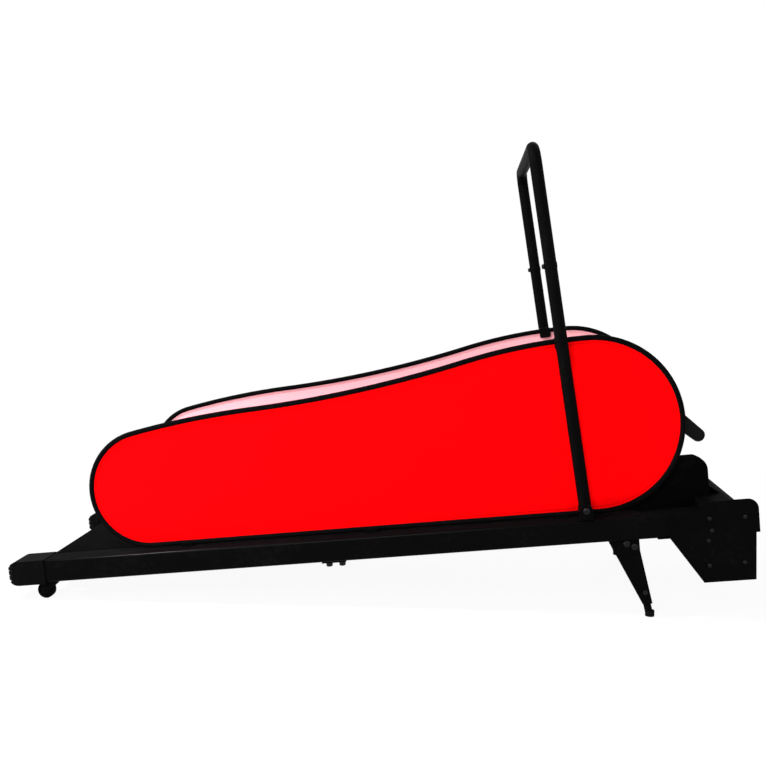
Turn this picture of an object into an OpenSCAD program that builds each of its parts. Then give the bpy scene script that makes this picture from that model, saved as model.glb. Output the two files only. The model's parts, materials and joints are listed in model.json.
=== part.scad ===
// Dog treadmill: a sloped running deck between two side rails, fabric side panels on bent hoops,
// a folding arch handle, a motor bay at the front and transport wheels at the rear.
// Deck places are measured along the rails from the rear end caps (x), across from the middle (y,
// the dog's left is +y) and up from the underside of the rails (z). on_deck() stands that on the floor.

/* [Frame] */
// Slope of the deck when it stands on the front stand, in degrees
deck_incline = 5.7; // [3:0.1:9]
// Length along the deck from the rear end caps to the nose
overall_length = 1925; // [1750:1:2150]
// Width across the outer faces of the side rails
frame_width = 618; // [560:1:700]
// Width of one side rail
rail_width = 78; // [66:1:86]
// Height of one side rail
rail_height = 60; // [56:1:72]
// Wall of a side rail
rail_wall = 3; // [2:0.5:4]
// Length of a rear end cap
cap_length = 104; // [90:1:130]
// How far the end caps stand above the rails
cap_rise = 2; // [2:0.5:10]

/* [Running deck] */
// Gap from each edge of the running belt to its side rail
belt_edge_gap = 21.5; // [18.5:0.5:61]
// Thickness of the running belt
belt_thickness = 2.5; // [1.5:0.1:4]
// Drop from the top of the rails to the running surface
belt_drop = 5; // [3:0.5:9]
// Thickness of the deck board
board_thickness = 17; // [13:0.5:19]
// Radius of the two belt rollers
roller_radius = 24; // [20:0.5:25]

/* [Wheels and stand] */
// Radius of a transport wheel
wheel_radius = 22; // [17:0.5:30]
// Width of a transport wheel
wheel_width = 22; // [14:0.5:30]
// Radius of the stand tubes
stand_radius = 9.5; // [8:0.5:12]
// Travel of the stand for a steeper slope
stand_travel = 30; // [15:1:40]

/* [Side panels] */
// Distance of the panel hoops in from the outer faces of the rails
hoop_inset = 47; // [41:1:51]
// Radius of the bound hoop tube
hoop_tube_radius = 6.5; // [5:0.5:9]
// Radius of the rear bend of a hoop, at the tube's middle
hoop_rear_radius = 151; // [120:0.5:180]
// Radius of the front bend of a hoop, at the tube's middle
hoop_front_radius = 220; // [190:0.5:240]
// Distance from the rear end caps to the back of a hoop
hoop_back = 232.5; // [180:0.5:320]
// Distance from the nose to the front of a hoop
hoop_setback = 148; // [142:1:220]

/* [Arch handle] */
// Radius of the handle tube
handle_radius = 15.5; // [12:0.5:16]
// Wall of the handle tube
handle_wall = 2.5; // [1.5:0.5:4]
// Distance of the posts in from the outer faces of the rails
post_inset = 17; // [13:1:19]
// Distance from the nose to the post pivots
post_setback = 412.5; // [330:0.5:520]
// Rearward lean of the posts from square to the deck, in degrees
post_lean = 3.4; // [0:0.1:8]
// Length of a lower post above its pivot
post_length = 604; // [520:1:760]
// Rise of the upper handle above its joint, to the middle of the top bar
handle_rise = 297; // [180:1:420]
// Radius of the handle's top bends, at the tube's middle
handle_bend = 42; // [32:1:90]

/* [Motor bay] */
// Depth of the motor tray below the rails
tray_depth = 118; // [112:1:140]
// Height of the nose above the underside of the rails
nose_height = 84; // [80:1:100]
// Height of the motor hood's raised ends above the underside of the rails
hood_height = 186; // [150:1:230]
// Distance from the nose to the front of the hood's raised ends
hood_setback = 100; // [90:1:120]
// Distance of the hood's sides in from the outer faces of the rails
hood_inset = 61; // [59:1:69]

/* [Console] */
// Width of the console
console_width = 380; // [300:1:460]
// Length of the console along its slope, between the middles of its round edges
console_length = 140; // [120:1:180]
// Thickness of the console
console_thickness = 34; // [30:0.5:44]
// Slope of the console from the deck, in degrees
console_tilt = 46; // [35:0.5:55]

/* [Hidden] */
$fn = 64;

// Clearances
overrun = 5;
running_fit = 0.05;
seat_gap = 0.2;
face_gap = 0.4;
side_gap = 2;

// Rails and what joins them
rail_outer = frame_width / 2;
rail_inner = rail_outer - rail_width;
rail_middle = rail_outer - rail_width / 2;
rail_round = 8;
rail_start = 38;
// The rails end behind the nose, which slopes down to its lip
nose_lip = 28;
nose_slope_setback = 67;
rail_nose_gap = 6.7;
rail_setback = nose_slope_setback * (rail_height - nose_lip) / (nose_height - nose_lip) + rail_nose_gap;
rail_end = overall_length - rail_setback;
cross_height = 20;
cross_depth = 40;
cross_wall = 2;
cross_shares = [0.12, 0.33, 0.55, 0.77];
front_cross_height = 40;
front_cross_floor = 5;
front_cross_setback = 8;
front_cross_back = rail_end - front_cross_setback - cross_depth;
strap_width = 62;
strap_thickness = 4;
strap_share = 0.4514;
strap_bolt_pitch = 34;
bolt_radius = 4;
bolt_head_radius = 8.5;
bolt_head_height = 6;
washer_radius = 10;
washer_thickness = 2;

// End caps
cap_wall = 2.5;
cap_round = 31;
cap_plan_round = 16;
cap_groove_depth = 2.5;
cap_groove_height = 4;
cap_groove_reach = 30;
cap_groove_shares = [0.2, 0.42, 0.64, 0.86];
cap_access_radius = 9;
cap_top = rail_height + cap_rise;
cap_in = rail_inner - cap_wall;
cap_out = rail_outer + cap_wall;

// Transport wheels
axle_radius = 4;
axle_setback = 16;
axle_x = cap_length - axle_setback;
wheel_clearance = 1;
axle_z = -cap_wall - wheel_clearance - wheel_radius;
wheel_tread_edge = 3;
wheel_hub_radius = 10;
wheel_hub_recess = 2;
fork_plate = 3;
fork_foot_length = 22;
fork_lug_radius = 9;
fork_inner = wheel_width / 2 + face_gap;
wheel_outset = 6;
wheel_middle = rail_middle + wheel_outset;

// Running deck
belt_width = 2 * (rail_inner - belt_edge_gap);
belt_gap = 0.3;
board_top = rail_height - belt_drop - belt_thickness - belt_gap;
board_floor = board_top - board_thickness;
board_half = rail_inner - side_gap;
cushion_height = 6;
cushion_radius = 12;
cushion_shares = [-0.8, 0.8];
cross_top = board_floor - cushion_height;
cross_floor = cross_top - cross_height;
roller_z = board_top - roller_radius;
rear_roller_setback = 4;
rear_roller_x = cap_length - rear_roller_setback;
front_roller_setback = 195;
front_roller_x = overall_length - front_roller_setback;
roller_margin = 2;
roller_half = belt_width / 2 + roller_margin;
roller_wall = 5;
shaft_radius = 7.5;
bearing_width = 11;
bearing_radius = roller_radius - roller_wall - running_fit;
board_gap = 10;
board_start = rear_roller_x + roller_radius + board_gap;
board_end = front_roller_x - roller_radius - board_gap;
front_shaft_half = rail_inner + rail_wall + side_gap;
rear_shaft_half = rail_middle;
tension_share = 0.3;
tension_y = rail_inner + tension_share * rail_width;
tension_radius = 4;
tension_head_radius = 6.5;
tension_head_height = 7;

// Drive
pulley_width = 14;
pulley_in = roller_half + side_gap / 2;
pulley_radius = roller_radius;
motor_pulley_radius = 15;
drive_thickness = 2.5;
drive_width = 10;
motor_radius = 46;
motor_setback = 75;
motor_x = overall_length - motor_setback;
motor_z = -58;
motor_length = 210;
motor_pulley_gap = 20.5;
end_bell_radius = 38;
end_bell_length = 12;
motor_left = pulley_in - motor_pulley_gap - end_bell_length;
motor_right = motor_left - motor_length;
motor_shaft_radius = 8;
flywheel_radius = 40;
flywheel_width = 22;
flywheel_left = motor_right - end_bell_length - side_gap;
flywheel_right = flywheel_left - flywheel_width;
cradle_length = 52;
cradle_inset = 20;
control_length = 90;
control_height = 42;
control_gap = 14;
control_inset = 79;

// Motor bay covers
sheet = 2;
plate_thickness = 3;
tray_back_setback = 216;
tray_floor_back_setback = 141;
tray_floor_front_setback = 16.5;
tray_front_setback = 9;
tray_back = overall_length - tray_back_setback;
tray_floor_back = overall_length - tray_floor_back_setback;
tray_floor_front = overall_length - tray_floor_front_setback;
tray_front = overall_length - tray_front_setback;
tray_flange = 28;
nose_wall = 3;
nose_round = 25;
nose_back_setback = 139;
nose_back = overall_length - nose_back_setback;
nose_slope_back = overall_length - nose_slope_setback;
nose_slope = atan2(nose_height - nose_lip, nose_slope_setback);
hood_half = rail_outer - hood_inset;
hood_wall = 3;
hood_end_width = 24;
hood_round = 36;
hood_back_round = 46;
hood_depth = 285;
hood_front = overall_length - hood_setback;
hood_back = overall_length - hood_depth;
hood_rake = 40;
hood_lean = atan2(hood_rake, hood_height - rail_height);
cover_height = 125;
cover_foot_setback = 71;
cover_foot = overall_length - cover_foot_setback;
cover_front = cover_foot - (cover_height - nose_height) / tan(nose_slope);
cover_back = hood_back + (cover_height - rail_height) * tan(hood_lean);
screw_radius = 2.5;
screw_head_radius = 5;
screw_head_height = 2.5;
// Screws of a side plate, as shares of the tray's floor length and of the nose's or the tray's height
screw_shares = [[0.16, 0.5], [0.76, 0.48], [0.19, 0.14], [0.12, -0.11], [0.11, -0.64], [0.71, -0.62]];

// Power inlet
inlet_width = 66;
inlet_height = 21;
inlet_depth = 34;
inlet_flange = 5;
inlet_lift = 1;
inlet_z = nose_wall + inlet_lift + inlet_height / 2;
inlet_inset = 159;
inlet_y = rail_outer - inlet_inset;
inlet_socket_width = 24;
inlet_socket_height = 17;
inlet_socket_depth = 20;
inlet_pin = 2;
inlet_pin_pitch = 7;
switch_radius = 9;
switch_width = 16;
switch_y = inlet_y - inlet_width / 4;
switch_sink = 6.5;
switch_face = 3.8;
switch_face_angle = 12;
switch_rest_angle = -8;

// Console
console_radius = console_thickness / 2;
console_low_setback = 105.5;
console_low_rise = 43;
console_low_x = overall_length - console_low_setback;
console_low_z = hood_height + console_low_rise;
console_wall = 3;
console_face_depth = 8;
console_split = console_radius - console_face_depth;
console_board_thickness = 2;
console_board_depth = 5;
board_post_radius = 5;
lens_width = 110;
lens_height = 52;
lens_thickness = 2.5;
lens_lip = 4;
button_count = 4;
button_radius = 11;
button_rise = 3;
button_travel = 1.5;
button_flange = 2;
button_flange_height = 2;
button_pitch_share = 0.155;
button_row_share = 0.27;
lens_row_share = 0.66;
key_radius = 15;
key_height = 9;
key_sink = 3;
key_y_share = 0.36;
pedestal_half = 75;
pedestal_back_setback = 190;
pedestal_front_setback = 135;

// Posts, brackets and arch handle
post_x = overall_length - post_setback;
post_offset = rail_outer - post_inset;
bracket_plate = 4;
ear_thickness = 5;
ear_gap = 1;
ear_radius = handle_radius + ear_gap;
post_tail = 10;
tail_reach = sqrt(pow(post_tail, 2) + pow(handle_radius, 2));
pivot_z = rail_height + bracket_plate + tail_reach + ear_gap;
pivot_radius = 5;
pivot_head_radius = 8.5;
pivot_head_height = 5.5;
ear_in = post_offset - handle_radius - ear_gap - ear_thickness;
ear_out = post_offset + handle_radius + ear_gap + ear_thickness;
spigot_length = 60;
collar_rise = 1;
collar_height = 14;
handle_bolt_radius = 3;
handle_bolt_head = 6;
handle_bolt_height = 5;
handle_bolt_seat = handle_radius + collar_rise;

// Hoops and their fabric
hoop_offset = rail_outer - hoop_inset;
hoop_lift = 1.5;
hoop_low_z = rail_height + hoop_lift + hoop_tube_radius;
hoop_rear_x = hoop_back + hoop_tube_radius + hoop_rear_radius;
hoop_front_x = overall_length - hoop_setback - hoop_tube_radius - hoop_front_radius;
hoop_crest_radius = 2300;
hoop_crest_angle = 10.5;
hoop_dip_angle = 2.4;
hoop_turn_share = 0.645;
panel_thickness = 2;
panel_inset = hoop_tube_radius + belt_gap;
hoop_sag = 0.15;
saddle_shares = [0.08, 0.5, 0.92];
saddle_length = 30;
saddle_half = 12;
saddle_height = 12;
clip_half = 16;
clip_skirt = 21;
clip_wall = 3;
clip_corner = 6;

// Height of the deck's own zero above the floor, with the wheels and the stand on the floor
deck_lift = wheel_radius - axle_x * sin(deck_incline) - axle_z * cos(deck_incline);

// Legs and stand
leg_setback = 302.5;
leg_rake = 7.95;
leg_x = overall_length - leg_setback;
// Length of the stand from the underside of the rail to the floor, and of its part below the leg
stand_length = (deck_lift + leg_x * sin(deck_incline)) / cos(leg_rake + deck_incline);
stand_show = 36.25;
leg_outset = 9;
leg_middle = rail_middle + leg_outset;
leg_half = 16;
leg_wall = 2.6;
leg_length = stand_length - stand_show;
leg_toe_half = stand_radius + leg_wall;
leg_back_reach = 61.5;
leg_front_reach = 15;
leg_lug_front = 12.5;
leg_lug_x = leg_x + leg_lug_front;
leg_lug_reach = 48;
leg_lug_half = 4;
leg_lug_depth = 30;
// Bolts of a leg, as shares of its lug's reach and depth
leg_bolt_shares = [[-0.6, -0.35], [-0.21, -0.65]];
stand_grip_length = 80;
stand_depth = stand_travel + stand_grip_length;
stand_top = leg_length - stand_depth;
clamp_rise = 34;
clamp_drop = leg_length - clamp_rise;
clamp_radius = 4;
clamp_head_radius = 7;
clamp_head_height = 9;
clamp_flutes = 10;
clamp_flute_radius = 1.6;
clamp_x = leg_x + clamp_drop * tan(leg_rake);
foot_wall = 2;
foot_radius = stand_radius + foot_wall;
foot_height = 14;
foot_sole = 5;
stand_cross_radius = 7;

// The part's ends on the floor plan, and the middle between them
rear_x = cap_round * cos(deck_incline) - (cap_top - cap_round) * sin(deck_incline) - cap_round;
front_x = overall_length * cos(deck_incline);
middle_x = (rear_x + front_x) / 2;

module on_deck() translate([-middle_x, 0, deck_lift]) rotate([0, -deck_incline, 0]) children();
module on_post() translate([post_x, 0, pivot_z]) rotate([0, -post_lean, 0]) children();
module on_console() translate([console_low_x, 0, console_low_z]) rotate([0, console_tilt, 0]) children();
module on_leg() translate([leg_x, leg_middle, 0]) rotate([0, -leg_rake, 0]) children();
// The dog's right side is the mirror of its left
module right_side() mirror([0, 1, 0]) children();
module both_sides() {
    children();
    right_side() children();
}

// A flat outline drawn in x and z, given a width across the deck
module across(y0, y1) translate([0, y1, 0]) rotate([90, 0, 0]) linear_extrude(y1 - y0) children();
// A flat outline drawn in y and z, given a length along the deck
module along(x0, x1) translate([x0, 0, 0]) rotate([90, 0, 90]) linear_extrude(x1 - x0) children();
module rod(r, y0, y1) translate([0, y0, 0]) rotate([-90, 0, 0]) cylinder(r = r, h = y1 - y0);
module block(low, high) translate(low) cube(high - low);
module rectangle(low, high) translate(low) square(high - low);
module rounded(low, high, r) {
    rectangle(low + [r, 0], high - [r, 0]);
    rectangle(low + [0, r], high - [0, r]);
    for (x = [low[0] + r, high[0] - r], y = [low[1] + r, high[1] - r]) translate([x, y]) circle(r);
}
module stadium(x0, z0, r0, x1, z1, r1) {
    reach = norm([x1 - x0, z1 - z0]);
    turn = atan2(z1 - z0, x1 - x0);
    lean = acos((r0 - r1) / reach);
    translate([x0, z0]) circle(r0);
    translate([x1, z1]) circle(r1);
    polygon([for (e = [[x0, z0, r0, 1], [x1, z1, r1, 1], [x1, z1, r1, -1], [x0, z0, r0, -1]])
        [e[0], e[1]] + e[2] * [cos(turn + e[3] * lean), sin(turn + e[3] * lean)]]);
}

module rail() {
    difference() {
        union() {
            along(rail_start, rail_end) rounded([rail_inner, 0], [rail_outer, rail_height], rail_round);
            block([leg_lug_x - leg_lug_reach, leg_middle - leg_lug_half, -leg_lug_depth],
                [leg_lug_x, leg_middle + leg_lug_half, rail_wall / 2]);
        }
        along(rail_start + rail_wall, rail_end + overrun)
            rounded([rail_inner + rail_wall, rail_wall], [rail_outer - rail_wall, rail_height - rail_wall],
                rail_round - rail_wall);
        for (x = [rear_roller_x, front_roller_x]) translate([x, 0, roller_z])
            rod(shaft_radius + running_fit, rail_inner - overrun, rail_inner + rail_wall + overrun);
        translate([rail_start - overrun, tension_y, roller_z]) rotate([0, 90, 0])
            cylinder(r = tension_radius + running_fit, h = rail_wall + 2 * overrun);
        tie_bolt_places() translate([0, 0, -overrun])
            cylinder(r = bolt_radius + running_fit, h = rail_wall + 2 * overrun);
        leg_bolt_bores();
        plate_screw_places()
            rod(screw_radius + running_fit, rail_outer - rail_wall - overrun, rail_outer + overrun);
    }
}
module tie_bolt_places() for (e = [-1, 1])
    translate([strap_share * overall_length + e * strap_bolt_pitch / 2, rail_middle, 0]) children();
module leg_bolt_places() for (s = leg_bolt_shares)
    translate([leg_lug_x + s[0] * leg_lug_reach, 0, s[1] * leg_lug_depth]) children();
module leg_bolt_bores() leg_bolt_places()
    rod(bolt_radius + running_fit, leg_middle - leg_half - overrun, leg_middle + leg_half + overrun);
module plate_screw_places() for (s = screw_shares)
    translate([tray_floor_back + s[0] * tray_floor_back_setback, 0,
        s[1] * (s[1] > 0 ? nose_height : tray_depth)]) children();
module right_rail() color("#1b1b1d") on_deck() right_side() rail();
module left_rail() color("#1b1b1d") on_deck() rail();

module cross_tube(x, z0, height) across(-rail_inner, rail_inner) difference() {
    rectangle([x, z0], [x + cross_depth, z0 + height]);
    rectangle([x + cross_wall, z0 + cross_wall], [x + cross_depth - cross_wall, z0 + height - cross_wall]);
}
module cross_members() color("#2a2a2c") on_deck() {
    for (s = cross_shares) cross_tube(s * overall_length, cross_floor, cross_height);
    cross_tube(front_cross_back, front_cross_floor, front_cross_height);
}
module tie_strap() color("#232325") on_deck() difference() {
    block([strap_share * overall_length - strap_width / 2, -rail_outer + rail_round, -strap_thickness],
        [strap_share * overall_length + strap_width / 2, rail_outer - rail_round, 0]);
    both_sides() tie_bolt_places() translate([0, 0, -strap_thickness - overrun])
        cylinder(r = bolt_radius + running_fit, h = strap_thickness + 2 * overrun);
}
// A bolt with a washer and a domed head, head down, with its seat at zero
module dome_bolt(shank) {
    cylinder(r = bolt_radius, h = shank);
    translate([0, 0, -washer_thickness]) cylinder(r = washer_radius, h = washer_thickness);
    translate([0, 0, -washer_thickness - bolt_head_height]) {
        cylinder(r = bolt_head_radius, h = bolt_head_height);
        intersection() {
            sphere(bolt_head_radius);
            translate([0, 0, -bolt_head_radius]) cylinder(r = washer_radius, h = bolt_head_radius);
        }
    }
}
module leg_bolt() {
    rod(bolt_radius, leg_middle - leg_half, leg_middle + leg_half);
    rod(bolt_head_radius, leg_middle + leg_half, leg_middle + leg_half + bolt_radius);
    rod(bolt_head_radius, leg_middle - leg_half - bolt_radius, leg_middle - leg_half);
}
module frame_bolts() color("#3a3a3d") on_deck() both_sides() {
    tie_bolt_places() translate([0, 0, -strap_thickness]) dome_bolt(strap_thickness + rail_wall);
    leg_bolt_places() leg_bolt();
}

module cap_side() {
    rectangle([cap_round, -cap_wall], [cap_length, cap_top]);
    rectangle([0, cap_round - cap_wall], [cap_length, cap_top - cap_round]);
    for (z = [cap_round - cap_wall, cap_top - cap_round]) translate([cap_round, z]) circle(cap_round);
}
module cap_plan(inset) {
    rectangle([inset + cap_plan_round, cap_in + inset], [cap_length + overrun, cap_out - inset]);
    rectangle([inset, cap_in + inset + cap_plan_round], [cap_length, cap_out - inset - cap_plan_round]);
    for (y = [cap_in + inset + cap_plan_round, cap_out - inset - cap_plan_round])
        translate([inset + cap_plan_round, y]) circle(cap_plan_round);
}
module end_cap() difference() {
    intersection() {
        across(cap_in, cap_out) cap_side();
        translate([0, 0, -cap_round]) linear_extrude(cap_top + 2 * cap_round) cap_plan(0);
    }
    block([rail_start - tension_head_height - seat_gap, rail_inner - seat_gap, -seat_gap],
        [cap_length + overrun, rail_outer + seat_gap, rail_height + seat_gap]);
    block([rail_start, cap_in - overrun, -seat_gap],
        [cap_length + overrun, rail_middle, rail_height + seat_gap]);
    translate([-overrun, tension_y, roller_z]) rotate([0, 90, 0])
        cylinder(r = cap_access_radius, h = rail_start);
    for (s = cap_groove_shares) translate([0, 0, s * rail_height - cap_groove_height / 2])
        linear_extrude(cap_groove_height) difference() {
            rectangle([-overrun, cap_in - overrun], [cap_groove_reach, cap_out + overrun]);
            cap_plan(cap_groove_depth);
        }
}
module right_end_cap() color("#141415") on_deck() right_side() end_cap();
module left_end_cap() color("#141415") on_deck() end_cap();

module fork_plate_outline() {
    translate([axle_x, axle_z]) circle(fork_lug_radius);
    polygon([
        [axle_x - fork_lug_radius, axle_z], [axle_x, axle_z - fork_lug_radius],
        [cap_length + fork_foot_length, -2 * fork_plate], [cap_length + fork_foot_length, 0],
        [cap_length + fork_plate, 0], [cap_length + fork_plate, -cap_wall - side_gap],
        [axle_x, -cap_wall - side_gap]
    ]);
}
module wheel_brackets() color("#2b2b2e") on_deck() both_sides() {
    for (y = [wheel_middle - fork_inner - fork_plate, wheel_middle + fork_inner])
        across(y, y + fork_plate) fork_plate_outline();
    block([axle_x + wheel_radius + side_gap, wheel_middle - fork_inner, -fork_plate],
        [cap_length + fork_foot_length, wheel_middle + fork_inner, 0]);
    translate([axle_x, 0, axle_z]) rod(axle_radius, wheel_middle - fork_inner, wheel_middle + fork_inner);
}
module wheel() translate([axle_x, wheel_middle, axle_z]) rotate([90, 0, 0]) rotate_extrude() polygon([
    [axle_radius + running_fit, -wheel_width / 2], [wheel_hub_radius, -wheel_width / 2],
    [wheel_hub_radius + wheel_hub_recess, -wheel_width / 2 + wheel_hub_recess],
    [wheel_radius - 2 * wheel_tread_edge, -wheel_width / 2 + wheel_hub_recess],
    [wheel_radius - wheel_tread_edge, -wheel_width / 2], [wheel_radius, -wheel_width / 2 + wheel_tread_edge],
    [wheel_radius, wheel_width / 2 - wheel_tread_edge], [wheel_radius - wheel_tread_edge, wheel_width / 2],
    [wheel_radius - 2 * wheel_tread_edge, wheel_width / 2 - wheel_hub_recess],
    [wheel_hub_radius + wheel_hub_recess, wheel_width / 2 - wheel_hub_recess],
    [wheel_hub_radius, wheel_width / 2], [axle_radius + running_fit, wheel_width / 2]
]);
module right_wheel() color("#0f0f10") on_deck() right_side() wheel();
module left_wheel() color("#0f0f10") on_deck() wheel();

module deck_board() color("#6b5a44") on_deck()
    block([board_start, -board_half, board_floor], [board_end, board_half, board_top]);
module deck_cushions() color("#1a1a1a") on_deck() for (s = cross_shares, c = cushion_shares)
    translate([s * overall_length + cross_depth / 2, c * board_half, cross_top])
        cylinder(r = cushion_radius, h = cushion_height);
module belt_loop(r) stadium(rear_roller_x, roller_z, r, front_roller_x, roller_z, r);
module running_belt() color("#161617") on_deck() across(-belt_width / 2, belt_width / 2) difference() {
    belt_loop(roller_radius + belt_gap + belt_thickness);
    belt_loop(roller_radius + belt_gap);
}
module roller(x) translate([x, 0, roller_z]) difference() {
    rod(roller_radius, -roller_half, roller_half);
    rod(roller_radius - roller_wall, -roller_half - overrun, roller_half + overrun);
}
module front_roller() color("#9a9a9c") on_deck() roller(front_roller_x);
module rear_roller() color("#9a9a9c") on_deck() roller(rear_roller_x);
module roller_shafts() color("#b5b5b8") on_deck() {
    translate([front_roller_x, 0, roller_z]) rod(shaft_radius, -front_shaft_half, front_shaft_half);
    difference() {
        translate([rear_roller_x, 0, roller_z]) rod(shaft_radius, -rear_shaft_half, rear_shaft_half);
        both_sides() translate([rail_start, tension_y, roller_z]) rotate([0, 90, 0])
            cylinder(r = tension_radius + running_fit, h = rear_roller_x);
    }
}
module roller_bearings() color("#8c8c90") on_deck() for (x = [rear_roller_x, front_roller_x]) both_sides()
    translate([x, 0, roller_z]) difference() {
        rod(bearing_radius, roller_half - bearing_width, roller_half);
        rod(shaft_radius + running_fit, roller_half - bearing_width - overrun, roller_half + overrun);
    }
module tension_bolts() color("#8c8c90") on_deck() both_sides() translate([rail_start, tension_y, roller_z])
    rotate([0, 90, 0]) {
        cylinder(r = tension_radius, h = rear_roller_x + shaft_radius - rail_start);
        translate([0, 0, -tension_head_height])
            cylinder(r = tension_head_radius, h = tension_head_height, $fn = 6);
    }

module motor_case() color("#3c3d40") on_deck() translate([motor_x, 0, motor_z]) difference() {
    union() {
        rod(motor_radius, motor_right, motor_left);
        rod(end_bell_radius, motor_right - end_bell_length, motor_left + end_bell_length);
    }
    rod(motor_shaft_radius + running_fit, motor_right - end_bell_length - overrun,
        motor_left + end_bell_length + overrun);
}
module motor_rotor() color("#a0a0a4") on_deck() translate([motor_x, 0, motor_z]) {
    rod(motor_shaft_radius, flywheel_right, pulley_in + pulley_width);
    rod(flywheel_radius, flywheel_right, flywheel_left);
    rod(motor_pulley_radius, pulley_in, pulley_in + pulley_width);
}
module motor_cradle() color("#2b2b2e") on_deck() difference() {
    block([motor_x - cradle_length / 2, motor_right + cradle_inset, motor_z + motor_radius / 2],
        [motor_x + cradle_length / 2, motor_left - cradle_inset, front_cross_floor]);
    translate([motor_x, 0, motor_z]) rod(motor_radius + seat_gap, motor_right, motor_left);
}
module roller_pulley() color("#7d7e82") on_deck() translate([front_roller_x, 0, roller_z]) difference() {
    rod(pulley_radius, pulley_in - side_gap / 2, pulley_in + pulley_width);
    rod(shaft_radius + face_gap, pulley_in - overrun, pulley_in + pulley_width + overrun);
}
module drive_loop(gap) stadium(front_roller_x, roller_z, pulley_radius + gap,
    motor_x, motor_z, motor_pulley_radius + gap);
module drive_belt() color("#101011") on_deck()
    across(pulley_in + side_gap, pulley_in + side_gap + drive_width) difference() {
        drive_loop(belt_gap + drive_thickness);
        drive_loop(belt_gap);
    }
module control_box() color("#4a4b4f") on_deck()
    block([tray_floor_back + sheet + side_gap, control_inset - rail_outer, sheet - tray_depth],
        [tray_floor_back + sheet + side_gap + control_length, flywheel_right - control_gap,
            sheet - tray_depth + control_height]);

module tray_outline() polygon([
    [tray_back, 0], [tray_floor_back, -tray_depth], [tray_floor_front, -tray_depth], [tray_front, 0]
]);
module tray_walls() {
    polygon([[tray_back, 0], [tray_floor_back, -tray_depth],
        [tray_floor_back + sheet, -tray_depth], [tray_back + sheet, 0]]);
    rectangle([tray_floor_back, -tray_depth], [tray_floor_front, sheet - tray_depth]);
    polygon([[tray_front - sheet, 0], [tray_floor_front - sheet, -tray_depth],
        [tray_floor_front, -tray_depth], [tray_front, 0]]);
    rectangle([tray_back - tray_flange, -sheet], [tray_back + sheet, 0]);
}
module motor_tray() color("#1d1d1f") on_deck() difference() {
    union() {
        across(-rail_outer, rail_outer) tray_walls();
        both_sides() across(rail_outer - sheet, rail_outer) tray_outline();
    }
    both_sides() plate_screw_places()
        rod(screw_radius + running_fit, rail_outer - sheet - overrun, rail_outer + overrun);
}
module plate_outline() {
    tray_outline();
    rectangle([tray_back, 0], [overall_length, rail_height]);
    rectangle([nose_back, 0], [overall_length - nose_round, nose_height]);
    rectangle([nose_back, 0], [overall_length, nose_height - nose_round]);
    translate([overall_length - nose_round, nose_height - nose_round]) circle(nose_round);
}
module side_plate() difference() {
    across(rail_outer, rail_outer + plate_thickness) plate_outline();
    plate_screw_places()
        rod(screw_radius + running_fit, rail_outer - overrun, rail_outer + plate_thickness + overrun);
}
module right_side_plate() color("#18181a") on_deck() right_side() side_plate();
module left_side_plate() color("#18181a") on_deck() side_plate();
module side_plate_screws() color("#77777b") on_deck() both_sides() plate_screw_places() {
    rod(screw_radius, rail_outer - sheet, rail_outer + plate_thickness);
    rod(screw_head_radius, rail_outer + plate_thickness, rail_outer + plate_thickness + screw_head_height);
}

// A shelf, a slope down to the front between the side plates, and an upright lip
module nose_outline(inset) polygon([
    [nose_back + inset, -overrun], [overall_length - inset, -overrun],
    [overall_length - inset, nose_lip - inset * tan(45 - nose_slope / 2)],
    [nose_slope_back - inset * tan(nose_slope / 2), nose_height - inset],
    [nose_back + inset, nose_height - inset]
]);
module inlet_hole(gap) block(
    [overall_length - nose_wall - overrun, inlet_y - inlet_width / 2 - gap, inlet_z - inlet_height / 2 - gap],
    [overall_length + overrun, inlet_y + inlet_width / 2 + gap, inlet_z + inlet_height / 2 + gap]);
module nose_cover() color("#151516") on_deck() difference() {
    across(-rail_outer, rail_outer) {
        difference() {
            nose_outline(0);
            nose_outline(nose_wall);
            rectangle([nose_back - overrun, -2 * overrun], [overall_length + overrun, 0]);
            rectangle([nose_back - overrun, -overrun], [nose_back + nose_wall, rail_height]);
        }
        rectangle([tray_front - sheet, 0], [overall_length, nose_wall]);
    }
    inlet_hole(seat_gap);
}
module hood_end_outline(inset) {
    front = hood_front - inset;
    top = hood_height - inset;
    foot = rail_height - (inset > 0 ? overrun : 0);
    front_bend = [hood_front - hood_round, hood_height - hood_round];
    back_bend = [hood_back + hood_rake + hood_back_round, hood_height - hood_back_round];
    translate(front_bend) circle(hood_round - inset);
    translate(back_bend) circle(hood_back_round - inset);
    polygon([
        [hood_back + inset / cos(hood_lean), foot], [nose_back, foot], [nose_back, nose_height - inset],
        [front, nose_height - inset], [front, front_bend[1]], [front_bend[0], top], [back_bend[0], top],
        back_bend + (hood_back_round - inset) * [-cos(hood_lean), sin(hood_lean)]
    ]);
}
module hood_cover_outline(inset) polygon([
    [hood_back + inset / cos(hood_lean), rail_height - (inset > 0 ? overrun : 0)],
    [nose_back, rail_height - (inset > 0 ? overrun : 0)], [nose_back, nose_height - inset],
    [cover_foot - inset * tan(nose_slope / 2), nose_height - inset],
    [cover_front - inset * tan(nose_slope / 2), cover_height - inset],
    [cover_back + inset * (1 - sin(hood_lean)) / cos(hood_lean), cover_height - inset]
]);
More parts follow.
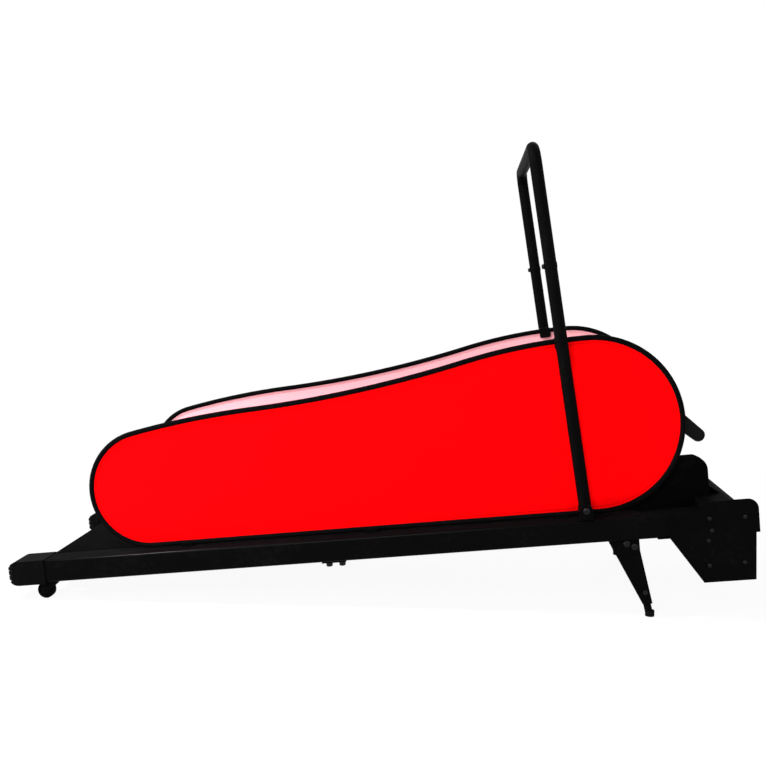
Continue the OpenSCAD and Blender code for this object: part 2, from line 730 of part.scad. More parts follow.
// One moulding: a low sloped cover between two raised, hollow ends
module motor_hood() color("#131314") on_deck() {
    end_in = hood_half - hood_end_width;
    both_sides() difference() {
        across(end_in, hood_half) hood_end_outline(0);
        across(end_in + hood_wall, hood_half - hood_wall) hood_end_outline(hood_wall);
    }
    across(-end_in - hood_wall / 2, end_in + hood_wall / 2) difference() {
        hood_cover_outline(0);
        hood_cover_outline(hood_wall);
    }
}
module power_inlet() color("#0d0d0e") on_deck() difference() {
    union() {
        block([overall_length - inlet_depth, inlet_y - inlet_width / 2, inlet_z - inlet_height / 2],
            [overall_length - seat_gap, inlet_y + inlet_width / 2, inlet_z + inlet_height / 2]);
        block([overall_length - nose_wall - sheet, inlet_y - inlet_width / 2 - inlet_flange,
                inlet_z - inlet_height / 2],
            [overall_length - nose_wall, inlet_y + inlet_width / 2 + inlet_flange,
                inlet_z + inlet_height / 2]);
    }
    socket_y = inlet_y + inlet_width / 4;
    difference() {
        block([overall_length - inlet_socket_depth, socket_y - inlet_socket_width / 2,
                inlet_z - inlet_socket_height / 2],
            [overall_length + overrun, socket_y + inlet_socket_width / 2, inlet_z + inlet_socket_height / 2]);
        for (p = [[-1, 0], [0, 1], [1, 0]])
            block([overall_length - inlet_depth, socket_y + p[0] * inlet_pin_pitch - inlet_pin / 2,
                    inlet_z + p[1] * inlet_pin - inlet_pin],
                [overall_length - inlet_pin, socket_y + p[0] * inlet_pin_pitch + inlet_pin / 2,
                    inlet_z + p[1] * inlet_pin + inlet_pin]);
    }
    translate([overall_length - switch_sink, 0, inlet_z])
        rod(switch_radius + face_gap, switch_y - switch_width / 2 - face_gap,
            switch_y + switch_width / 2 + face_gap);
}
// A rocker that turns about its own middle, with a hollow face in two planes, resting on its off side
module power_switch() color("#b01217") on_deck() translate([overall_length - switch_sink, 0, inlet_z])
    rotate([0, switch_rest_angle, 0]) difference() {
        rod(switch_radius, switch_y - switch_width / 2, switch_y + switch_width / 2);
        for (half = [-1, 1]) rotate([0, half * switch_face_angle, 0])
            block([switch_face, switch_y - switch_width, min(0, half * 2 * switch_radius)],
                [2 * switch_radius, switch_y + switch_width, max(0, half * 2 * switch_radius)]);
    }

// Console in its own frame: x runs down the slope to the low round edge at zero, z stands off its face
module console_solid(inset) {
    block([-console_length, inset - console_width / 2, inset - console_radius],
        [0, console_width / 2 - inset, console_radius - inset]);
    for (x = [-console_length, 0]) translate([x, 0, 0])
        rod(console_radius - inset, inset - console_width / 2, console_width / 2 - inset);
}
module console_slab(z0, z1) intersection() {
    console_solid(0);
    block([-2 * console_length, -console_width, z0], [console_length, console_width, z1]);
}
module console_back() color("#141415") on_deck() on_console() difference() {
    console_slab(-console_radius, console_split);
    intersection() {
        console_solid(console_wall);
        block([-console_length, -console_width, -console_radius], [0, console_width, console_radius]);
    }
}
button_row_x = -button_row_share * console_length;
lens_row_x = -lens_row_share * console_length;
button_floor = console_split - console_board_depth;
function button_y(i) = (i - (button_count - 1) / 2) * button_pitch_share * console_width;
module console_face() color("#1f2023") on_deck() on_console() difference() {
    console_slab(console_split, console_radius);
    translate([lens_row_x, 0, 0]) block([-lens_height / 2 - seat_gap, -lens_width / 2 - seat_gap,
            console_radius - lens_thickness - seat_gap],
        [lens_height / 2 + seat_gap, lens_width / 2 + seat_gap, console_radius + overrun]);
    translate([lens_row_x, 0, 0]) block([lens_lip - lens_height / 2, lens_lip - lens_width / 2, 0],
        [lens_height / 2 - lens_lip, lens_width / 2 - lens_lip, console_radius]);
    for (i = [0 : button_count - 1]) translate([button_row_x, button_y(i), 0]) {
        cylinder(r = button_radius + face_gap, h = console_thickness);
        cylinder(r = button_radius + button_flange + face_gap,
            h = console_split + button_flange_height + face_gap);
    }
    translate([lens_row_x, key_y_share * console_width, console_radius - key_sink])
        cylinder(r = key_radius + face_gap, h = console_thickness);
}
module console_board() color("#1f5a34") on_deck() on_console() {
    block([-console_length + console_wall, -console_width / 2 + 2 * console_wall,
            button_floor - button_travel - face_gap - console_board_thickness],
        [0, console_width / 2 - 2 * console_wall, button_floor - button_travel - face_gap]);
    for (x = [-console_length + 2 * board_post_radius, -2 * board_post_radius], y = [-1, 1])
        translate([x, y * (console_width / 2 - 2 * console_wall - 2 * board_post_radius),
                console_wall - console_radius])
            cylinder(r = board_post_radius, h = console_radius - console_wall + button_floor - button_travel
                - face_gap - console_board_thickness);
}
module display_lens() color("#0a1420") on_deck() on_console() translate([lens_row_x, 0, 0])
    block([-lens_height / 2, -lens_width / 2, console_radius - lens_thickness - seat_gap],
        [lens_height / 2, lens_width / 2, console_radius - seat_gap]);
// A key cap with a flange that keeps it behind the face, and a stem that meets the circuit board
module button(i) on_deck() on_console() translate([button_row_x, button_y(i), 0]) {
    translate([0, 0, button_floor]) cylinder(r = button_radius / 2, h = console_split - button_floor);
    translate([0, 0, console_split - button_travel])
        cylinder(r = button_radius, h = console_radius + button_rise - console_split + button_travel);
    translate([0, 0, console_split - button_travel])
        cylinder(r = button_radius + button_flange, h = button_flange_height + button_travel);
}
module start_button() color("#1f8a3a") button(1);
module stop_button() color("#b3161b") button(2);
module faster_button() color("#8f9196") button(3);
module slower_button() color("#8f9196") button(0);
module safety_key() color("#c21a1f") on_deck() on_console()
    translate([lens_row_x, key_y_share * console_width, console_radius - key_sink]) {
        cylinder(r = key_radius, h = key_height);
        block([-key_sink / 2, -key_radius + key_sink, key_height - key_sink / 2],
            [key_sink / 2, key_radius - key_sink, key_height + key_sink]);
    }
// Height of the underside of the console over a place along the deck
function console_under(x) = console_low_z + (console_low_x - x) * tan(console_tilt)
    - console_radius / cos(console_tilt);
module pedestal_outline(inset) {
    back = overall_length - pedestal_back_setback + inset;
    front = overall_length - pedestal_front_setback - inset;
    foot = cover_height - (inset > 0 ? overrun : 0);
    polygon([[back, foot], [front, foot],
        [front, console_under(front) - inset], [back, console_under(back) - inset]]);
}
module console_pedestal() color("#161617") on_deck() difference() {
    across(-pedestal_half, pedestal_half) pedestal_outline(0);
    across(console_wall - pedestal_half, pedestal_half - console_wall) pedestal_outline(console_wall);
}

module post_bracket() difference() {
    union() {
        block([post_x - ear_radius, ear_in, rail_height],
            [post_x + ear_radius, ear_out, rail_height + bracket_plate]);
        for (y = [ear_in, ear_out - ear_thickness]) across(y, y + ear_thickness) {
            rectangle([post_x - ear_radius, rail_height + bracket_plate / 2], [post_x + ear_radius, pivot_z]);
            translate([post_x, pivot_z]) circle(ear_radius);
        }
    }
    translate([post_x, 0, pivot_z]) rod(pivot_radius + running_fit, ear_in - overrun, ear_out + overrun);
}
module post_brackets() color("#1b1b1d") on_deck() both_sides() post_bracket();
module post_pivot_bolts() color("#8c8c90") on_deck() both_sides() translate([post_x, 0, pivot_z]) {
    rod(pivot_radius, ear_in, ear_out);
    rod(pivot_head_radius, ear_out, ear_out + pivot_head_height);
}
handle_bore = handle_radius - handle_wall;
// A bolt's place in the upper handle's collar, pointing to the rear
module on_handle_bolt() translate([0, post_offset, post_length + collar_height / 2])
    rotate([0, -90, 0]) children();
module handle_bolt_bore() on_handle_bolt()
    cylinder(r = handle_bolt_radius + running_fit, h = handle_bolt_seat + overrun);
module post() on_post() difference() {
    translate([0, post_offset, -post_tail]) cylinder(r = handle_radius, h = post_length + post_tail);
    translate([0, post_offset, -post_tail - overrun])
        cylinder(r = handle_bore, h = post_length + post_tail + 2 * overrun);
    rod(pivot_radius + running_fit, ear_in, ear_out);
}
module right_post() color("#161617") on_deck() right_side() post();
module left_post() color("#161617") on_deck() post();
module handle_spigots() color("#3a3a3d") on_deck() both_sides() on_post() difference() {
    translate([0, post_offset, post_length - spigot_length])
        cylinder(r = handle_bore - running_fit, h = 2 * spigot_length);
    handle_bolt_bore();
}
module handle_ring() difference() {
    circle(handle_radius);
    circle(handle_bore);
}
module upper_handle() color("#161617") on_deck() on_post() {
    straight = handle_rise - handle_bend;
    both_sides() {
        difference() {
            translate([0, post_offset, post_length]) {
                linear_extrude(straight) handle_ring();
                linear_extrude(collar_height) difference() {
                    circle(handle_bolt_seat);
                    circle(handle_bore);
                }
            }
            handle_bolt_bore();
        }
        translate([0, post_offset - handle_bend, post_length + straight]) rotate([90, 0, 90])
            rotate_extrude(angle = 90) translate([handle_bend, 0]) handle_ring();
    }
    translate([0, 0, post_length + handle_rise])
        across(handle_bend - post_offset, post_offset - handle_bend) handle_ring();
}
module handle_bolts() color("#9a9a9e") on_deck() both_sides() on_post() on_handle_bolt() {
    cylinder(r = handle_bolt_radius, h = handle_bolt_seat);
    translate([0, 0, handle_bolt_seat]) cylinder(r = handle_bolt_head, h = handle_bolt_height);
}

// The hoop's middle line is a run of bends of one tube, anticlockwise from the front
hoop_front_middle = [hoop_front_x, hoop_low_z + hoop_front_radius];
hoop_rear_middle = [hoop_rear_x, hoop_low_z + hoop_rear_radius];
crest_start = hoop_rear_middle + hoop_rear_radius * [-sin(hoop_crest_angle), cos(hoop_crest_angle)];
crest_middle = crest_start + hoop_crest_radius * [sin(hoop_crest_angle), -cos(hoop_crest_angle)];
crest_end = crest_middle + hoop_crest_radius * [-sin(hoop_dip_angle), cos(hoop_dip_angle)];
rise = hoop_front_middle + [0, hoop_front_radius] - crest_end;
// Slope where the top edge turns from hollow to crowned, and the two radii that meet there
turn_angle = 2 * atan(rise[1] / rise[0]) - hoop_turn_share * hoop_dip_angle;
hollow_gain = [sin(turn_angle) - sin(hoop_dip_angle), cos(hoop_dip_angle) - cos(turn_angle)];
crown_gain = [sin(turn_angle), 1 - cos(turn_angle)];
gain_area = hollow_gain[0] * crown_gain[1] - crown_gain[0] * hollow_gain[1];
hollow_radius = (rise[0] * crown_gain[1] - crown_gain[0] * rise[1]) / gain_area;
crown_radius = (hollow_gain[0] * rise[1] - rise[0] * hollow_gain[1]) / gain_area;
hollow_middle = crest_end + hollow_radius * [-sin(hoop_dip_angle), cos(hoop_dip_angle)];
crown_middle = hoop_front_middle + [0, hoop_front_radius - crown_radius];
// Bends [middle, radius, from, to, side], where side is -1 on the bend that curves the other way
hoop_bends = [
    [hoop_front_middle, hoop_front_radius, -90, 90, 1],
    [crown_middle, crown_radius, 90, 90 + turn_angle, 1],
    [hollow_middle, hollow_radius, turn_angle - 90, hoop_dip_angle - 90, -1],
    [crest_middle, hoop_crest_radius, 90 + hoop_dip_angle, 90 + hoop_crest_angle, 1],
    [hoop_rear_middle, hoop_rear_radius, 90 + hoop_crest_angle, 270, 1]
];
// Stations round the hoop: [place, direction outwards], with no station twice
function bend_steps(b) = ceil(abs(b[3] - b[2]) / (2 * acos(1 - hoop_sag / b[1])));
hoop_stations = [for (k = [0 : len(hoop_bends) - 1], i = [0 : bend_steps(hoop_bends[k])])
    let (b = hoop_bends[k], a = b[2] + (b[3] - b[2]) * i / bend_steps(b))
    if (i < bend_steps(b) || k == len(hoop_bends) - 1) [b[0], b[1], b[4], [cos(a), sin(a)]]];
function hoop_line(inset) = [for (h = hoop_stations) h[0] + (h[1] - h[2] * inset) * h[3]];
hoop_sides = 12;
module hoop() {
    count = len(hoop_stations);
    points = [for (h = hoop_stations, j = [0 : hoop_sides - 1])
        let (t = 360 * j / hoop_sides, p = h[0] + (h[1] + h[2] * hoop_tube_radius * cos(t)) * h[3])
        [p[0], hoop_offset + hoop_tube_radius * sin(t), p[1]]];
    function corner(i, j) = (i % count) * hoop_sides + j % hoop_sides;
    polyhedron(points, [for (i = [0 : count - 1], j = [0 : hoop_sides - 1], half = [0, 1]) half == 0
        ? [corner(i, j), corner(i, j + 1), corner(i + 1, j + 1)]
        : [corner(i, j), corner(i + 1, j + 1), corner(i + 1, j)]]);
}
module right_hoop() color("#101011") on_deck() right_side() hoop();
module left_hoop() color("#101011") on_deck() hoop();
module panel() across(hoop_offset - panel_thickness / 2, hoop_offset + panel_thickness / 2)
    polygon(hoop_line(panel_inset));
module right_panel() color("#e1101c") on_deck() right_side() panel();
module left_panel() color("#e1101c") on_deck() panel();
module hoop_saddles() color("#1a1a1b") on_deck() both_sides() for (s = saddle_shares) difference() {
    x = hoop_rear_x + s * (hoop_front_x - hoop_rear_x);
    block([x - saddle_length / 2, hoop_offset - saddle_half, rail_height],
        [x + saddle_length / 2, hoop_offset + saddle_half, rail_height + saddle_height]);
    translate([x - saddle_length, hoop_offset, hoop_low_z]) rotate([0, 90, 0])
        cylinder(r = hoop_tube_radius + seat_gap, h = 2 * saddle_length);
}
// Where the post passes the hoop's top edge, on the crowned bend
clip_x = post_x - (crown_middle[1] + crown_radius - pivot_z) * tan(post_lean);
clip_angle = asin((crown_middle[0] - clip_x) / crown_radius);
clip_z = crown_middle[1] + crown_radius * cos(clip_angle);
clip_slot = hoop_tube_radius + face_gap;
// A cap pushed over the hoop, with a pad that steadies the post from the side
module panel_clip() difference() {
    across(hoop_offset - hoop_tube_radius - clip_wall, post_offset - handle_radius - face_gap)
        rounded([-clip_half, -clip_skirt], [clip_half, hoop_tube_radius + clip_wall], clip_corner);
    translate([-clip_half - overrun, hoop_offset, 0]) rotate([0, 90, 0])
        cylinder(r = clip_slot, h = 2 * (clip_half + overrun));
    block([-clip_half - overrun, hoop_offset - clip_slot, -clip_skirt - overrun],
        [clip_half + overrun, hoop_offset + clip_slot, 0]);
}
module panel_clips() color("#121213") on_deck() both_sides()
    translate([clip_x, 0, clip_z]) rotate([0, -clip_angle, 0]) panel_clip();

module leg_outline() polygon([
    [leg_x - leg_back_reach, 0], [leg_x + leg_front_reach, 0],
    [leg_x + leg_front_reach, -leg_lug_depth],
    [leg_x + leg_length * sin(leg_rake) + leg_toe_half, -leg_length * cos(leg_rake)],
    [leg_x + leg_length * sin(leg_rake) - leg_toe_half, -leg_length * cos(leg_rake)]
]);
module leg_sockets() color("#19191b") on_deck() both_sides() difference() {
    across(leg_middle - leg_half, leg_middle + leg_half) leg_outline();
    on_leg() translate([0, 0, -leg_length - overrun])
        cylinder(r = stand_radius + running_fit, h = leg_length + overrun - stand_top + side_gap);
    block([leg_lug_x - leg_lug_reach - seat_gap, leg_middle - leg_lug_half - seat_gap,
            -leg_lug_depth - seat_gap],
        [leg_lug_x + seat_gap, leg_middle + leg_lug_half + seat_gap, overrun]);
    leg_bolt_bores();
    translate([clamp_x, 0, -clamp_drop])
        rod(clamp_radius + running_fit, leg_middle, leg_middle + leg_half + overrun);
}
module incline_stand() color("#2a2a2c") on_deck() {
    both_sides() on_leg() translate([0, 0, foot_sole - stand_length])
        cylinder(r = stand_radius, h = stand_length - foot_sole - stand_top);
    translate([leg_x, 0, 0]) rotate([0, -leg_rake, 0])
        translate([0, 0, -leg_length - stand_cross_radius - side_gap])
            rod(stand_cross_radius, -leg_middle, leg_middle);
}
module stand_feet() color("#0e0e0f") both_sides() translate([-middle_x, 0, deck_lift]) difference() {
    rotate([0, -deck_incline, 0]) on_leg() translate([0, 0, -stand_length])
        rotate([0, deck_incline + leg_rake, 0]) cylinder(r = foot_radius, h = foot_height);
    rotate([0, -deck_incline, 0]) on_leg() translate([0, 0, foot_sole - stand_length])
        cylinder(r = stand_radius + running_fit, h = stand_length);
}
module clamp_screw() translate([clamp_x, 0, -clamp_drop]) {
    rod(clamp_radius, leg_middle + stand_radius + belt_gap, leg_middle + leg_half + face_gap);
    difference() {
        rod(clamp_head_radius, leg_middle + leg_half + face_gap,
            leg_middle + leg_half + face_gap + clamp_head_height);
        for (i = [1 : clamp_flutes]) rotate([0, 360 * i / clamp_flutes, 0])
            translate([clamp_head_radius, 0, 0])
                rod(clamp_flute_radius, leg_middle, leg_middle + 2 * leg_half);
    }
}
module right_clamp_screw() color("#2e2e31") on_deck() right_side() clamp_screw();
module left_clamp_screw() color("#2e2e31") on_deck() clamp_screw();

right_rail();
left_rail();
cross_members();
tie_strap();
frame_bolts();
right_end_cap();
left_end_cap();
wheel_brackets();
right_wheel();
left_wheel();
deck_board();
deck_cushions();
running_belt();
front_roller();
rear_roller();
roller_shafts();
roller_bearings();
tension_bolts();
motor_case();
motor_rotor();
motor_cradle();
roller_pulley();
drive_belt();
control_box();
motor_tray();
right_side_plate();
left_side_plate();
side_plate_screws();
nose_cover();
motor_hood();
power_inlet();
power_switch();
console_pedestal();
console_back();
console_face();
console_board();
display_lens();
start_button();
stop_button();
faster_button();
slower_button();
safety_key();
post_brackets();
post_pivot_bolts();
right_post();
left_post();
handle_spigots();
upper_handle();
handle_bolts();
right_hoop();
left_hoop();
right_panel();
left_panel();
hoop_saddles();
panel_clips();
leg_sockets();
incline_stand();
stand_feet();
right_clamp_screw();
left_clamp_screw();
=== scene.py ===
"""Dresses a dog treadmill: a sloped belt deck, bound fabric side panels, an arch handle and a motor bay."""

from __future__ import annotations

import json
import logging
import math
from dataclasses import dataclass, field
from enum import Enum
from functools import cache
from typing import Callable, Sequence

import bpy
import numpy as np
from mathutils import Euler, Matrix, Vector

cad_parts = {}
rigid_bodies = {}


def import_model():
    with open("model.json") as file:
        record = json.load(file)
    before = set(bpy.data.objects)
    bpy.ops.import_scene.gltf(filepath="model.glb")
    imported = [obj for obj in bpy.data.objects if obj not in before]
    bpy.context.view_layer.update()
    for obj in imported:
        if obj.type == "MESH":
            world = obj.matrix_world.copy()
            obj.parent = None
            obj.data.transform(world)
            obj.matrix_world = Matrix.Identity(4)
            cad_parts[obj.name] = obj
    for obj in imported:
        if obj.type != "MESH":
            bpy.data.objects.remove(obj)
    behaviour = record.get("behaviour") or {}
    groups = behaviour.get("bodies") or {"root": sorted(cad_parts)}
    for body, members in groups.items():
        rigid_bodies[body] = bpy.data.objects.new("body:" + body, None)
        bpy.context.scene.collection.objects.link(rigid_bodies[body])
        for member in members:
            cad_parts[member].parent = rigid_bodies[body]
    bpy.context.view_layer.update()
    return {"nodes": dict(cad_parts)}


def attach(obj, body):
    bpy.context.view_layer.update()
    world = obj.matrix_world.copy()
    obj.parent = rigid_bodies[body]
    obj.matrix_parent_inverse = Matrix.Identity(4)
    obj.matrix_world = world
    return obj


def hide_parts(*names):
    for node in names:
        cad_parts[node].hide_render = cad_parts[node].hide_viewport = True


LOG = logging.getLogger("treadmill")
Colour = tuple[float, float, float]
Node = bpy.types.Node
Piece = bpy.types.Object
Socket = bpy.types.NodeSocket
Looks = tuple[Socket, Socket, Socket]
Tree = bpy.types.NodeTree


class Side(Enum):
    """A side of the deck, named for the dog that walks on it."""

    RIGHT = -1
    LEFT = 1

    @property
    def label(self) -> str:
        """The side's word in the names of pieces."""
        return self.name.lower()


class Drive(Enum):
    """The recess that a tool turns a fastener by."""

    HEX = "hex"
    CROSS = "cross"


class Icon(Enum):
    """The raised mark on a console button."""

    GO = "go"
    HALT = "halt"
    MORE = "more"
    LESS = "less"


# Frames


@dataclass(frozen=True)
class Deck:
    """The sloped deck's own frame: along it from the rear caps, across it, and up from under the rails.

    Attributes:
        incline: Slope of the deck.
        lift: Height of its rear end's underside above the floor.
        middle: Distance from its rear end to the row's middle.
    """

    incline: float = math.radians(5.7)
    lift: float = 0.038634
    middle: float = 0.956125

    @property
    def matrix(self) -> Matrix:
        """The turn and shift from the deck's frame to the row's."""
        return Matrix.Translation((-self.middle, 0, self.lift)) @ Matrix.Rotation(-self.incline, 4, "Y")

    def on(self, along: float, up: float, lean: float = 0.0, across: float = 0.0) -> Matrix:
        """A frame that stands on the deck.

        Args:
            along: Place along the deck.
            up: Height above the underside of the rails.
            lean: Turn about the axis across the deck.
            across: Place across the deck.

        Returns:
            The matrix from that frame to the row's.
        """
        return self.matrix @ Matrix.Translation((along, across, up)) @ Matrix.Rotation(lean, 4, "Y")


DECK = Deck()


# Modelling helpers


def leave_edit() -> None:
    """Goes back to object mode."""
    bpy.ops.object.mode_set(mode="OBJECT")


def deselect() -> None:
    """Leaves edit mode and clears the selection."""
    if bpy.context.object and bpy.context.object.mode != "OBJECT":
        leave_edit()
    bpy.ops.object.select_all(action="DESELECT")


def started(name: str) -> Piece:
    """Names the primitive that was just added.

    Args:
        name: The piece's name.

    Returns:
        The new object, with its place applied to its mesh.
    """
    made = bpy.context.object
    made.name = made.data.name = name
    bpy.ops.object.transform_apply(location=True, rotation=True, scale=True)
    return made


def take(piece: Piece) -> None:
    """Makes a piece the only one that is selected and active."""
    deselect()
    piece.select_set(True)
    bpy.context.view_layer.objects.active = piece


def edit_faces(piece: Piece, wanted: Callable[[bpy.types.MeshPolygon], bool] = lambda face: True) -> None:
    """Opens a piece in edit mode with some faces selected, or all of them.

    Args:
        piece: The piece to shape.
        wanted: Says whether a face is selected.
    """
    take(piece)
    bpy.ops.object.mode_set(mode="EDIT")
    bpy.ops.mesh.select_mode(type="FACE")
    bpy.ops.mesh.select_all(action="DESELECT")
    leave_edit()
    for face in piece.data.polygons:
        face.select = wanted(face)
    bpy.ops.object.mode_set(mode="EDIT")


def extruded(rise: float) -> None:
    """Extrudes what is selected, straight up or down."""
    bpy.ops.mesh.extrude_region_move(TRANSFORM_OT_translate={"value": (0, 0, rise)})


def turned_out(piece: Piece) -> None:
    """Turns the faces of a closed piece outwards."""
    edit_faces(piece)
    bpy.ops.mesh.normals_make_consistent(inside=False)
    leave_edit()


def modified(piece: Piece, kind: str, **values: object) -> None:
    """Adds a modifier to a piece and applies it.

    Args:
        piece: The piece to change.
        kind: The modifier's type.
        **values: Its settings.
    """
    take(piece)
    made = piece.modifiers.new(kind.title(), kind)
    for key, value in values.items():
        setattr(made, key, value)
    bpy.ops.object.modifier_apply(modifier=made.name)


def moved(piece: Piece, place: Matrix) -> Piece:
    """Moves a piece's mesh, and leaves its object at the origin."""
    piece.data.transform(place)
    piece.data.update()
    return piece


def copies(pattern: Piece, places: Sequence[Matrix], name: str) -> Piece:
    """Puts a copy of a pattern at each place, and joins them into one piece.

    Args:
        pattern: The piece that repeats, which is removed.
        places: The frame of each copy.
        name: The joined piece's name.

    Returns:
        The joined piece.
    """
    made = []
    for place in places:
        twin = pattern.copy()
        twin.data = pattern.data.copy()
        bpy.context.collection.objects.link(twin)
        made.append(moved(twin, place))
    bpy.data.objects.remove(pattern)
    deselect()
    for twin in made:
        twin.select_set(True)
    bpy.context.view_layer.objects.active = made[0]
    bpy.ops.object.join()
    made[0].name = made[0].data.name = name
    return made[0]


def smoothed(piece: Piece, degrees: float = 35.0) -> Piece:
    """Shades a piece smooth except at its sharper edges."""
    take(piece)
    bpy.ops.object.shade_smooth_by_angle(angle=math.radians(degrees))
    deselect()
    return piece


def settle(piece: Piece, body: str, finish: Finish, replaces: Sequence[str] = ()) -> Piece:
    """Ties a finished piece to its body, and gives it its finish's material if it has none.

    Args:
        piece: The finished piece.
        body: The CAD body that it rides on.
        finish: The finish that it wears.
        replaces: The CAD nodes that it stands for.

    Returns:
        The piece.
    """
    if not piece.data.materials:
        piece.data.materials.append(finish.material())
    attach(piece, body)
    if replaces:
        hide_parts(*replaces)
    LOG.info("%s rides on %s, %d faces", piece.name, body, len(piece.data.polygons))
    return piece


# Shader groups


class Shade:
    """A node tree that is being filled, with short calls to add and join nodes."""

    def __init__(self, tree: Tree) -> None:
        """Keeps the tree."""
        self.tree = tree

    def add(self, kind: str, **values: object) -> Node:
        """Adds a node.

        Args:
            kind: The node's type, without its prefix.
            **values: Settings of the node.

        Returns:
            The node.
        """
        node = self.tree.nodes.new("ShaderNode" + kind)
        for key, value in values.items():
            setattr(node, key, value)
        return node

    def set(self, socket: Socket, value: object) -> None:
        """Joins a socket to another one, or sets its value."""
        if isinstance(value, Socket):
            self.tree.links.new(value, socket)
        elif isinstance(value, tuple) and socket.type == "RGBA" and len(value) == 3:
            socket.default_value = (*value, 1.0)
        else:
            socket.default_value = value

    def join(self, node: Node, **values: object) -> Node:
        """Sets or joins a node's inputs, each named by its words in small letters."""
        for key, value in values.items():
            self.set(node.inputs[key.replace("_", " ").title()], value)
        return node

    def math(self, operation: str, *values: object) -> Socket:
        """A Math node's result for its values, each a number or a socket."""
        node = self.add("Math", operation=operation)
        for socket, value in zip(node.inputs, values):
            self.set(socket, value)
        return node.outputs[0]

    def blend(self, share: object, first: object, second: object) -> Socket:
        """A colour between two, by a share from 0 to 1."""
        node = self.add("Mix", data_type="RGBA")
        self.set(node.inputs["Factor"], share)
        self.set(node.inputs["A"], first)
        self.set(node.inputs["B"], second)
        return next(s for s in node.outputs if s.type == "RGBA")

    def span(self, value: object, low: float, high: float, bottom: float, top: float) -> Socket:
        """Carries a value from one span to another, held at its ends."""
        node = self.add("MapRange", clamp=True)
        for socket, part in zip(node.inputs, (value, low, high, bottom, top)):
            self.set(socket, part)
        return node.outputs[0]

    def noise(self, vector: object, scale: object, detail: float = 3.0) -> Socket:
        """A noise value over a vector."""
        return self.join(self.add("TexNoise"), vector=vector, scale=scale, detail=detail).outputs["Fac"]

    def group(self, tree: Tree, **values: object) -> tuple[Socket, ...]:
        """Places a shader group with its inputs, and hands on its outputs."""
        return tuple(self.join(self.add("Group", node_tree=tree), **values).outputs)

    def parts(self, vector: object) -> tuple[Socket, ...]:
        """A vector's three values."""
        node = self.add("SeparateXYZ")
        self.set(node.inputs[0], vector)
        return tuple(node.outputs)

    def streaks(self, vector: object, scale: Colour, detail: float) -> Socket:
        """A noise value that is drawn out by a scale along each axis."""
        mapping = self.join(self.add("Mapping"), vector=vector, scale=scale)
        return self.noise(mapping.outputs["Vector"], 1.0, detail)

    def bump(self, height: object, strength: float, distance: float, normal: Socket | None = None) -> Socket:
        """A normal that is raised by a height, over the surface's own normal or another one."""
        node = self.join(self.add("Bump"), height=height, strength=strength, distance=distance)
        if normal is not None:
            self.set(node.inputs["Normal"], normal)
        return node.outputs["Normal"]


class Groups:
    """The effects that several finishes share, each built once."""

    @staticmethod
    def _start(
        name: str, inputs: dict[str, float | None], outputs: Sequence[str]
    ) -> tuple[Shade, Node, Node]:
        """Opens a new group.

        Args:
            name: The group's name.
            inputs: First value of each input by its name, or None for a vector.
            outputs: Name of each value that it puts out.

        Returns:
            The tree's Shade, its input node and its output node.
        """
        tree = bpy.data.node_groups.new(name, "ShaderNodeTree")
        for label, value in inputs.items():
            kind = "NodeSocketVector" if value is None else "NodeSocketFloat"
            socket = tree.interface.new_socket(label, in_out="INPUT", socket_type=kind)
            if value is not None:
                socket.default_value = value
        for label in outputs:
            tree.interface.new_socket(label, in_out="OUTPUT", socket_type="NodeSocketFloat")
        return Shade(tree), tree.nodes.new("NodeGroupInput"), tree.nodes.new("NodeGroupOutput")

    @staticmethod
    @cache
    def grain() -> Tree:
        """Fine moulded or sprayed grain: a height, and a broad tone that drifts over the piece."""
        shade, given, result = Groups._start("grain", {"Vector": None, "Pitch": 600.0}, ["Height", "Tone"])
        place, pitch = given.outputs["Vector"], given.outputs["Pitch"]
        cells = shade.join(shade.add("TexVoronoi", feature="SMOOTH_F1"), vector=place, scale=pitch)
        fine = shade.noise(place, pitch, 2.0)
        height = shade.math("ADD", cells.outputs["Distance"], fine)
        shade.join(result, height=height, tone=shade.noise(place, 7.0, 5.0))
        return shade.tree

    @staticmethod
    @cache
    def wear() -> Tree:
        """Dust and rubbed patches as a mask, and fine scratches as another."""
        shade, given, result = Groups._start("wear", {"Vector": None, "Amount": 0.3}, ["Mask", "Scratch"])
        place = given.outputs["Vector"]
        joined = shade.math("MULTIPLY", shade.noise(place, 11.0, 8.0), shade.noise(place, 95.0, 4.0))
        patch = shade.span(joined, 0.27, 0.42, 0.0, 1.0)
        mask = shade.math("MULTIPLY", patch, given.outputs["Amount"])
        lines = shade.streaks(place, (6.0, 260.0, 300.0), 2.0)
        shade.join(result, mask=mask, scratch=shade.span(lines, 0.68, 0.74, 0.0, 1.0))
        return shade.tree

    @staticmethod
    @cache
    def weave() -> Tree:
        """A plain weave over two coordinates: the height of its threads, and a mask of the warp."""
        inputs = {"Along": 0.0, "Across": 0.0, "Threads": 900.0}
        shade, given, result = Groups._start("weave", inputs, ["Height", "Warp"])
        turns = shade.math("MULTIPLY", given.outputs["Threads"], math.pi)
        warp, weft = (
            shade.math("SINE", shade.math("MULTIPLY", given.outputs[way], turns))
            for way in ("Along", "Across")
        )
        raised = shade.math("ADD", shade.math("ABSOLUTE", warp), shade.math("ABSOLUTE", weft))
        over = shade.math("MULTIPLY", warp, weft)
        shade.join(
            result, height=shade.math("MULTIPLY", raised, 0.5), warp=shade.span(over, -0.4, 0.4, 0.0, 1.0)
        )
        return shade.tree


# Finishes


